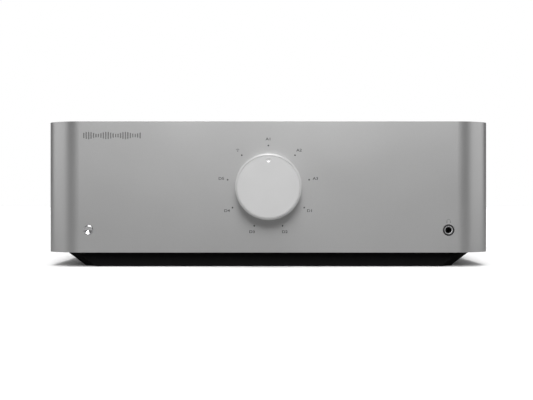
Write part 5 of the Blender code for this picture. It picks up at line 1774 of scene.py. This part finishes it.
    def cap(self, name: str, x: float, z: float) -> None:
        """Build one screw cap with flutes and a gilt end, and the washer under it.

        Args:
            name: The post's name.
            x: Its place across.
            z: Its height.
        """
        low, top, radius, bore = 6.1 * MM, 22.0 * MM, 8.5 * MM, 3.3 * MM
        body = turned("cap", [(bore, low), (radius - 0.5 * MM, low), (radius, low + 0.5 * MM),
                (radius, top - 3.0 * MM), (radius - 0.4 * MM, top - 2.6 * MM),
                (radius - 0.4 * MM, top - 1.2 * MM), (radius - 0.9 * MM, top - 0.5 * MM),
                (5.6 * MM, top - 0.5 * MM), (5.6 * MM, top - 1.5 * MM), (bore, top - 1.5 * MM)], 96,
                      closed=True)
        colour = self.shop.of(GLOSS_RED if name.endswith("plus") else GLOSS_BLACK)
        seed = turned("flute", [(0.0, top - 3.4 * MM), (self.flute_radius * 0.6, top - 3.6 * MM),
                (self.flute_radius, top - 4.2 * MM), (self.flute_radius, low + 1.6 * MM),
                (self.flute_radius * 0.6, low + 1.1 * MM), (0.0, low + 0.9 * MM)], 10)
        flutes = self.shop.arrays.ring.grow("flutes", seed, colour, Count=self.cap_flutes,
                                            Radius=radius + 0.12 * MM)
        body = combined(painted(body, colour), [flutes], Joining.CUT)
        insert = turned("insert", [(2.1 * MM, top - 0.2 * MM), (2.4 * MM, top), (5.1 * MM, top),
                (5.5 * MM, top - 0.4 * MM), (5.5 * MM, top - 2.9 * MM), (2.1 * MM, top - 2.9 * MM)],
                        48, closed=True)
        mesh = merged(name, [body, self.shop.coat(insert, GILT)])
        slot = "red_plastic" if name.endswith("plus") else "black_plastic"
        place(f"speaker_cap_{name}", moved(mesh, self.at(x, z)), slot, f"post_cap_{name}",
              [f"post_cap_{name}"])
        washer = turned("washer", [
            (bore, 4.32 * MM), (6.6 * MM, 4.32 * MM), (7.0 * MM, 4.7 * MM), (7.0 * MM, 5.4 * MM),
            (6.6 * MM, 5.78 * MM), (bore, 5.78 * MM)], 48, closed=True)
        place(f"post_washer_{name}", self.shop.coat(moved(washer, self.at(x, z)), GILT),
              "gilt_brass", f"post_collar_{name}", [f"post_collar_{name}"])

    def balanced_sockets(self) -> None:
        """Build the two three-pole sockets: flange, groove, poled core, latch and sinks."""
        for side in SIDES:
            box = Extent.of(f"balanced_socket_{side}")
            x, z, deep = box.centre.x, box.centre.z, -14.0 * MM
            w, h, r = 13.0 * MM, 15.5 * MM, 4.0 * MM
            flange = prism("flange", pane(w, h, r, 6), 0.3 * MM, 2.3 * MM, 0.4 * MM)
            mouth = turned("mouth", [(0.0, 6 * MM), (9.9 * MM, 6 * MM), (9.9 * MM, 2.1 * MM),
                    (9.3 * MM, 1.5 * MM), (9.3 * MM, -6 * MM), (0.0, -6 * MM)], 64)
            tools = [mouth]
            for sx in (-1, 1):
                sink = turned("sink", [(0.0, 6 * MM), (2.3 * MM, 6 * MM), (2.3 * MM, 1.6 * MM),
                        (1.2 * MM, 0.9 * MM), (1.2 * MM, -2 * MM), (0.0, -2 * MM)], 24)
                tools.append(shifted(sink, (sx * 9.5 * MM, sx * 12.0 * MM, 0.0)))
            parts = [self.shop.shaped(BLACK_PLASTIC, flange, tools)]
            tube = turned("tube", [(9.3 * MM, 1.0 * MM), (11.4 * MM, 1.0 * MM), (11.4 * MM, deep),
                    (0.0, deep), (0.0, deep + 1.5 * MM), (9.3 * MM, deep + 1.5 * MM)], 64,
                          closed=True)
            parts.append(self.shop.coat(tube, CHROME))
            core = turned("core", [(0.0, 0.9 * MM), (6.6 * MM, 0.9 * MM), (7.0 * MM, 0.5 * MM),
                                   (7.0 * MM, deep + 1.0 * MM), (0.0, deep + 1.0 * MM)], 64)
            poles, cups = [], []
            for pole in range(3):
                angle = math.radians(-90 + 90 * pole)
                px, py = 4.0 * MM * math.sin(angle), -4.0 * MM * math.cos(angle)
                bore = turned("bore", [(0.0, 4 * MM), (1.9 * MM, 4 * MM), (1.9 * MM, 0.6 * MM),
                        (1.3 * MM, 0.1 * MM), (1.3 * MM, -10 * MM), (0.0, -10 * MM)], 20)
                poles.append(shifted(bore, (px, py, 0.0)))
                cup = turned("cup", [(0.95 * MM, -0.6 * MM), (1.28 * MM, -0.6 * MM),
                        (1.28 * MM, -9 * MM), (0.95 * MM, -9 * MM)], 20, closed=True)
                cups.append(self.shop.coat(shifted(cup, (px, py, 0.0)), GILT))
            parts += [self.shop.shaped(BLACK_PLASTIC, core, poles), *cups]
            latch = block("latch", (4.4 * MM, 2.2 * MM, 1.0 * MM), 0.35 * MM)
            parts.append(self.shop.coat(shifted(latch, (0.0, 12.0 * MM, 2.5 * MM)), ZINC))
            mesh = moved(merged("balanced", parts), self.at(x, z))
            place(f"balanced_inlet_{side}", mesh, "black_metal",
                  stands_for=[f"balanced_socket_{side}"])

    def shell(self, reach: float) -> Mesh:
        """Return a gilt phono shell that stands off the panel by its reach.

        Args:
            reach: From the panel to its end.

        Returns:
            The shell, facing +Z.
        """
        return self.shop.coat(turned("shell", [(3.5 * MM, reach), (3.9 * MM, reach),
                (4.15 * MM, reach - 0.3 * MM), (4.15 * MM, reach - 1.6 * MM),
                (4.0 * MM, reach - 1.8 * MM), (4.0 * MM, 1.2 * MM), (5.6 * MM, 1.2 * MM),
                (5.9 * MM, 0.9 * MM), (5.9 * MM, 0.1 * MM), (4.15 * MM, 0.1 * MM),
                (4.15 * MM, -3.0 * MM), (3.5 * MM, -3.0 * MM)], 48, closed=True), GILT)

    def core(self, reach: float, finish: Finish) -> Mesh:
        """Return the coloured insulator inside a phono shell, with its centre hole.

        Args:
            reach: From the panel to the shell's end.
            finish: Its colour.

        Returns:
            The insulator, facing +Z.
        """
        return self.shop.coat(turned("core", [(1.7 * MM, reach - 0.9 * MM),
                (3.3 * MM, reach - 0.9 * MM), (3.49 * MM, reach - 1.1 * MM), (3.49 * MM, -2.8 * MM),
                (0.0, -2.8 * MM), (0.0, 0.6 * MM), (1.7 * MM, 0.6 * MM)], 40, closed=True), finish)

    def phono_sockets(self) -> None:
        """Build three pairs of gilt phono sockets: white over red inserts."""
        box = Extent.of("phono_block")
        body = block("body", (box.size.x, 13.4 * MM, box.size.z), 0.5 * MM)
        middle_y = box.low.y + 6.7 * MM
        parts = [self.shop.coat(shifted(body, (box.centre.x, middle_y, box.centre.z)),
                BLACK_PLASTIC)]
        for x, z in self.phonos():
            finish = INSERT_WHITE if z > box.centre.z else GLOSS_RED
            for mesh in (self.shell(9.5 * MM), self.core(9.5 * MM, finish)):
                parts.append(moved(mesh, self.at(x, z)))
        place("phono_sockets", merged("phono_sockets", parts), "gilt_brass",
              stands_for=["phono_block"])

    def digital_sockets(self) -> None:
        """Build the coaxial socket and the two shuttered optical sockets in their moulding."""
        box = Extent.of("digital_block")
        proud, width = 3.5 * MM, 15.0 * MM
        depth = self.face_y + proud - box.low.y
        body = block("body", (box.size.x, depth, box.size.z), self.bezel)
        body = shifted(body, (box.centre.x, box.low.y + depth / 2, box.centre.z))
        tools = []
        flaps = [Extent.of(f"optical_flap_{number}") for number in (1, 2)]
        for flap in flaps:
            mouth = block("mouth", (8.5 * MM, 24 * MM, 8.5 * MM))
            tools.append(shifted(mouth, (flap.centre.x, self.face_y + proud, flap.centre.z)))
        parts = [self.shop.shaped(BLACK_PLASTIC, body, tools)]
        x = box.high.x - width / 2
        for mesh in (self.shell(9.5 * MM), self.core(9.5 * MM, INSERT_ORANGE)):
            parts.append(moved(mesh, self.at(x, box.centre.z)))
        place("digital_sockets", merged("digital_sockets", parts), "black_plastic",
              stands_for=["digital_block"])
        for number, flap in enumerate(flaps, start=1):
            sheet = block("shutter", tuple(flap.size), 0.25 * MM)
            rib = block("rib", (0.5 * MM, 0.25 * MM, flap.size.z * 0.55), 0.1 * MM)
            ribs = self.shop.arrays.row.grow("ribs", rib, self.shop.of(FLAP_GREY), Count=5,
                                             Pitch=(1.2 * MM, 0.0, 0.0))
            ribs = shifted(ribs, (-2.4 * MM, flap.size.y / 2, 0.0))
            mesh = merged("shutter", [self.shop.coat(sheet, FLAP_GREY), ribs])
            place(f"optical_shutter_{number}", shifted(mesh, flap.centre), "black_plastic",
                  f"optical_flap_{number}", [f"optical_flap_{number}"])

    def metal_sockets(self) -> None:
        """Build the data and audio return sockets: folded shells round contact tongues."""
        for node, wall, tongue in (("data_socket", 1.75 * MM, (4.25 * MM, 2.8 * MM)),
                                   ("audio_return_socket", 1.0 * MM, (11.0 * MM, 1.6 * MM))):
            box = Extent.of(node)
            body = self.shop.coat(block("shell", tuple(box.size), 0.5 * MM), ZINC)
            body = shifted(body, box.centre)
            mouth = block("mouth", (box.size.x - 2 * wall, box.size.y - 1 * MM,
                    box.size.z - 2 * wall))
            mouth = shifted(self.shop.coat(mouth, BLACK_PLASTIC),
                            (box.centre.x, box.high.y, box.centre.z))
            parts = [combined(body, [mouth], Joining.CUT)]
            stem = block("tongue", (tongue[0], box.size.y * 0.42, tongue[1]), 0.2 * MM)
            stem_y = box.centre.y + box.size.y * 0.22
            parts.append(self.shop.coat(shifted(stem, (box.centre.x, stem_y, box.centre.z)), EPOXY))
            pin = block("pin", (0.35 * MM, box.size.y * 0.36, 0.14 * MM))
            count = 4 if node == "data_socket" else 9
            row = self.shop.arrays.row.grow("pins", pin, self.shop.of(GILT), Count=count,
                                            Pitch=(tongue[0] * 0.8 / (count - 1), 0.0, 0.0))
            start = (box.centre.x - tongue[0] * 0.4, stem_y, box.centre.z + tongue[1] / 2)
            parts.append(shifted(row, start))
            place(f"{node}_shell", merged(node, parts), "steel", stands_for=[node])

    def mains_inlet(self) -> None:
        """Build the mains inlet: shaped shroud with cut corners, and three metal blades."""
        box = Extent.of("mains_inlet")
        x, z = box.centre.x, box.centre.z
        deep = box.low.y - self.face_y
        w, h = 17.0 * MM, 12.75 * MM
        flange = prism("flange", pane(w, h, 2 * MM, 5), 0.3 * MM, 2.8 * MM, self.bezel)
        tub = prism("tub", pane(13.65 * MM, 9.9 * MM, MM, 3), deep, 1.5 * MM, 0.3 * MM)
        body = self.shop.shaped(BLACK_PLASTIC, flange, [tub], Joining.ADD)
        mw, mh, c = 12.25 * MM, 8.5 * MM, 4.2 * MM
        mouth = prism("mouth", [(-mw, -mh), (mw, -mh), (mw, mh - c), (mw - c, mh), (-mw + c, mh),
                (-mw, mh - c)], deep + 3.0 * MM, 8 * MM)
        parts = [self.shop.shaped(BLACK_PLASTIC, body, [mouth])]
        for column, lift in ((-1, -1), (0, 1), (1, -1)):
            blade = block("blade", (2.0 * MM, 4.0 * MM, 15.5 * MM), 0.35 * MM)
            middle = (column * 7.0 * MM, lift * 2.0 * MM, deep + 3.0 * MM + 7.7 * MM)
            parts.append(self.shop.coat(shifted(blade, middle), CHROME))
        mesh = moved(merged("mains_inlet", parts), self.upright(x, z))
        place("mains_socket", mesh, "black_plastic", stands_for=["mains_inlet"])

    def upright(self, x: float, z: float) -> Matrix:
        """Return the transform to the panel's outer face that keeps a piece's +Y upwards."""
        turn = Matrix(((-1, 0, 0, 0), (0, 0, 1, 0), (0, 1, 0, 0), (0, 0, 0, 1)))
        return Matrix.Translation((x, self.face_y, z)) @ turn

    def rocker(self) -> None:
        """Build the mains switch: flanged housing, and the rocker in it."""
        box = Extent.of("rocker_housing")
        x, z = box.centre.x, box.centre.z
        deep = box.low.y - self.face_y
        w, h = box.size.x / 2, box.size.z / 2
        flange = prism("flange", pane(w, h, 1.5 * MM, 5), 0.3 * MM, 2.8 * MM, self.bezel)
        tub = prism("tub", pane(8.1 * MM, 12.6 * MM), deep, 1.5 * MM)
        body = self.shop.shaped(BLACK_PLASTIC, flange, [tub], Joining.ADD)
        mouth = prism("mouth", pane(6.35 * MM, 10.85 * MM), deep + 3.6 * MM, 8 * MM)
        body = self.shop.shaped(BLACK_PLASTIC, body, [mouth])
        place("rocker_frame", moved(body, self.upright(x, z)), "black_plastic",
              stands_for=["rocker_housing"])
        self.rocker_key()

    def rocker_key(self) -> None:
        """Build the curved rocker with its marks, tilted to its rest place about its pivot."""
        box = Extent.of("mains_rocker")
        x, z = box.centre.x, box.centre.z
        tilt, reach, width = math.radians(10), 10.2 * MM, 11.5 * MM
        rise = reach * math.tan(tilt)
        keel = reach * math.cos(tilt) / 2
        top = []
        for step in range(13):
            share = -1 + step / 6
            top.append((share * reach, rise / 2 + (rise / 2 - 0.1 * MM) * share * share))
        outline = [(-keel, -keel), (keel, -keel), (reach, 0.0)] + top[::-1] + [(-reach, 0.0)]
        form = prism("rocker", outline, -width / 2, width / 2, 0.3 * MM)
        to_side = Matrix(((0, 0, 1, 0), (0, 1, 0, 0), (1, 0, 0, 0), (0, 0, 0, 1)))
        parts = [self.shop.coat(moved(form, to_side), GLOSS_BLACK)]
        level = rise * 0.62
        bar = block("bar", (0.5 * MM, 0.12 * MM, 2.8 * MM))
        parts.append(self.shop.coat(shifted(bar, (0.0, level, 5.6 * MM)), PALE_INK))
        ring = turned("ring", [(1.25 * MM, 0.06 * MM), (1.7 * MM, 0.06 * MM),
                (1.7 * MM, -0.06 * MM), (1.25 * MM, -0.06 * MM)], 32, closed=True)
        ring = moved(ring, Matrix.Translation((0.0, level, -5.6 * MM)) @ Facing.REAR.turn())
        parts.append(self.shop.coat(ring, PALE_INK))
        pivot = Matrix.Translation((x, self.face_y + 0.8 * MM, z)) @ Matrix.Rotation(tilt, 4, 'X')
        mesh = outward(moved(merged("rocker_key", parts), pivot))
        place("rocker_key", mesh, "black_plastic", "mains_rocker", ["mains_rocker"])

    def screws(self) -> None:
        """Set cross-head screws along the panel's edge and beside its sockets."""
        radius = self.screw_radius
        head = turned("head", [(0.0, 1.35 * MM), (radius * 0.45, 1.3 * MM),
                (radius * 0.8, 1.0 * MM), (radius, 0.45 * MM), (radius, 0.0), (0.0, 0.0)], 32)
        arm, slit = radius * 1.25, 0.55 * MM
        cross = [block("arm", (slit, arm, 1.6 * MM)), block("arm", (arm, slit, 1.6 * MM))]
        head = self.shop.shaped(SCREW_BLACK, head, [shifted(bar, (0.0, 0.0, 1.5 * MM))
                for bar in cross])
        low, high, y = self.panel.low, self.panel.high, self.face_y
        points = [Vector((x, y, z)) for z in (low.z + 6 * MM, high.z - 6 * MM)
                  for x in [low.x + 7 * MM + step * (high.x - low.x - 14 * MM) / 6
                            for step in range(7)]]
        points += [Vector((x, y, self.panel.centre.z)) for x in (low.x + 7 * MM, high.x - 7 * MM)]
        phono = Extent.of("phono_block")
        points += [Vector((x, y, phono.centre.z)) for x in (phono.centre.x - 19 * MM,
                phono.centre.x + 19 * MM)]
        mesh = self.shop.arrays.fasteners("panel_screws", head, points, Facing.REAR,
                self.shop.of(SCREW_BLACK))
        place("panel_screws", mesh, "steel")

    def legends(self) -> None:
        """Print plain generic names by the sockets."""
        words = []
        phono, digital = Extent.of("phono_block"), Extent.of("digital_block")
        phono_z, digital_z = phono.centre.z + 20.5 * MM, digital.centre.z + 11 * MM
        phono_xs = (phono.high.x - self.phono_edge, phono.centre.x, phono.low.x + self.phono_edge)
        digital_xs = [digital.high.x - 7.5 * MM, digital.centre.x, digital.low.x + 7.5 * MM]
        digital_xs += [Extent.of(node).centre.x for node in ("data_socket", "audio_return_socket")]
        names = [(x, phono_z, f"A{number}") for number, x in enumerate(phono_xs, start=1)]
        names += [(x, digital_z, f"D{number}") for number, x in enumerate(digital_xs, start=1)]
        for side in SIDES:
            box = Extent.of(f"balanced_socket_{side}")
            names.append((box.centre.x, box.low.z - 4.5 * MM, side[0].upper()))
        for name, (x, z) in self.posts().items():
            names.append((x, z + 14.5 * MM, "+" if name.endswith("plus") else "-"))
        for x, z, text in names:
            word = lettering("legend", text, self.text_height, self.print_depth)
            words.append(moved(word, self.upright(x, z)))
        rule = block("rule", (84 * MM, 0.4 * MM, self.print_depth))
        words.append(moved(rule, self.upright(phono.centre.x, phono.low.z - 5 * MM)))
        mesh = self.shop.coat(merged("socket_legends", words), PALE_INK)
        place("socket_legends", outward(mesh), "black_metal")

    def build(self) -> None:
        """Build the whole rear."""
        self.plate()
        self.speaker_posts()
        self.balanced_sockets()
        self.phono_sockets()
        self.digital_sockets()
        self.metal_sockets()
        self.mains_inlet()
        self.rocker()
        self.screws()
        self.legends()


# ---------------------------------------------------------------- inside
@dataclass
class Inside:
    """The heatsinks, transformers, boards and the parts on them.

    Attributes:
        shop: Finishes and trees.
        fin_pitch: Distance between fins.
        fin: A fin's thickness.
        spine: Thickness of the heatsink's plate.
    """

    shop: Workshop
    fin_pitch: float = 12.0 * MM
    fin: float = 3.0 * MM
    spine: float = 6.0 * MM

    def heatsinks(self) -> None:
        """Build the two heatsinks: a plate with tapered, ribbed fins."""
        for side, sign in zip(SIDES, (-1, 1)):
            box = Extent.of(f"heatsink_{side}")
            count = int((box.size.y - self.fin) / self.fin_pitch) + 1
            first_y = box.centre.y - (count - 1) * self.fin_pitch / 2
            height = box.size.z
            spine = block("spine", (self.spine, box.size.y, height), 0.4 * MM)
            inner_x = box.high.x - self.spine / 2 if side == "left" else box.low.x + self.spine / 2
            spine = shifted(spine, (inner_x, box.centre.y, box.centre.z))
            overlap = 0.5 * MM
            reach = box.size.x - self.spine + overlap
            outline = [(0.0, -self.fin / 2)]
            for step in range(1, 9):
                share = step / 9
                outline.append((reach * share,
                                -self.fin * (0.5 - 0.14 * share) + 0.18 * MM * (step % 2)))
            outline.append((reach, -self.fin * 0.30))
            outline += [(u, -v) for u, v in outline[::-1]]
            seed = prism("fin", outline, -height / 2, height / 2)
            fins = self.shop.arrays.row.grow("fins", seed, self.shop.of(PAINTED), Count=count,
                                             Pitch=(0.0, self.fin_pitch, 0.0))
            turn = Matrix.Identity(4) if sign > 0 else Matrix.Rotation(math.pi, 4, 'Z')
            spine_x = box.low.x + self.spine if sign > 0 else box.high.x - self.spine
            root_x = spine_x - sign * overlap
            start_y = first_y if sign > 0 else first_y + (count - 1) * self.fin_pitch
            fins = moved(fins, Matrix.Translation((root_x, start_y, box.centre.z)) @ turn)
            mesh = merged(f"heatsink_{side}", [self.shop.coat(spine, PAINTED), fins])
            place(f"finned_sink_{side}", mesh, "black_metal", stands_for=[f"heatsink_{side}"])

    def dressing(self) -> None:
        """Give every CAD piece that stays in view its own finish."""
        toroid = Extent.of("toroid_upper").centre
        tape = TapeFinish("transformer_tape", (0.30, 0.16, 0.035), 0.26, 0.0, contrast=0.10,
                          relief=4e-6, bare=(0.44, 0.26, 0.07), wear=0.0, dust=0.08, coat=0.4,
                          hub=(toroid.x, toroid.y))
        finishes = {
            ZINC: ["chassis_tray", "clamp_plate", "clamp_bolt", "volume_shaft", "button_spring"],
            BOARD: ["control_board", "supply_board", "input_board", "amplifier_board_left",
                    "amplifier_board_right"],
            tape: ["toroid_lower", "toroid_upper"],
            RUBBER: ["transformer_pad"],
            EPOXY: ["output_transistors_left", "output_transistors_right", "volume_encoder",
                    "selector_encoder", "power_switch"],
            GILT: ["selector_sleeve", "spindle_bush"],
            SLEEVE: [f"reservoir_capacitor_{number}" for number in range(1, 5)],
        }
        for finish, nodes in finishes.items():
            for node in nodes:
                dress(node, self.shop.of(finish))

    def build(self) -> None:
        """Build the inside."""
        self.heatsinks()
        self.dressing()


def main() -> None:
    """Build the amplifier's looks and its studio."""
    logging.basicConfig(level=logging.INFO, format="%(message)s")
    shop = Workshop()
    build_front(shop)
    RearPanel(shop).build()
    Inside(shop).build()
    STUDIO.light()
    STUDIO.floor()
    STUDIO.camera(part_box("front_wrap")[0][1])


if __name__ == "__main__":
    main()
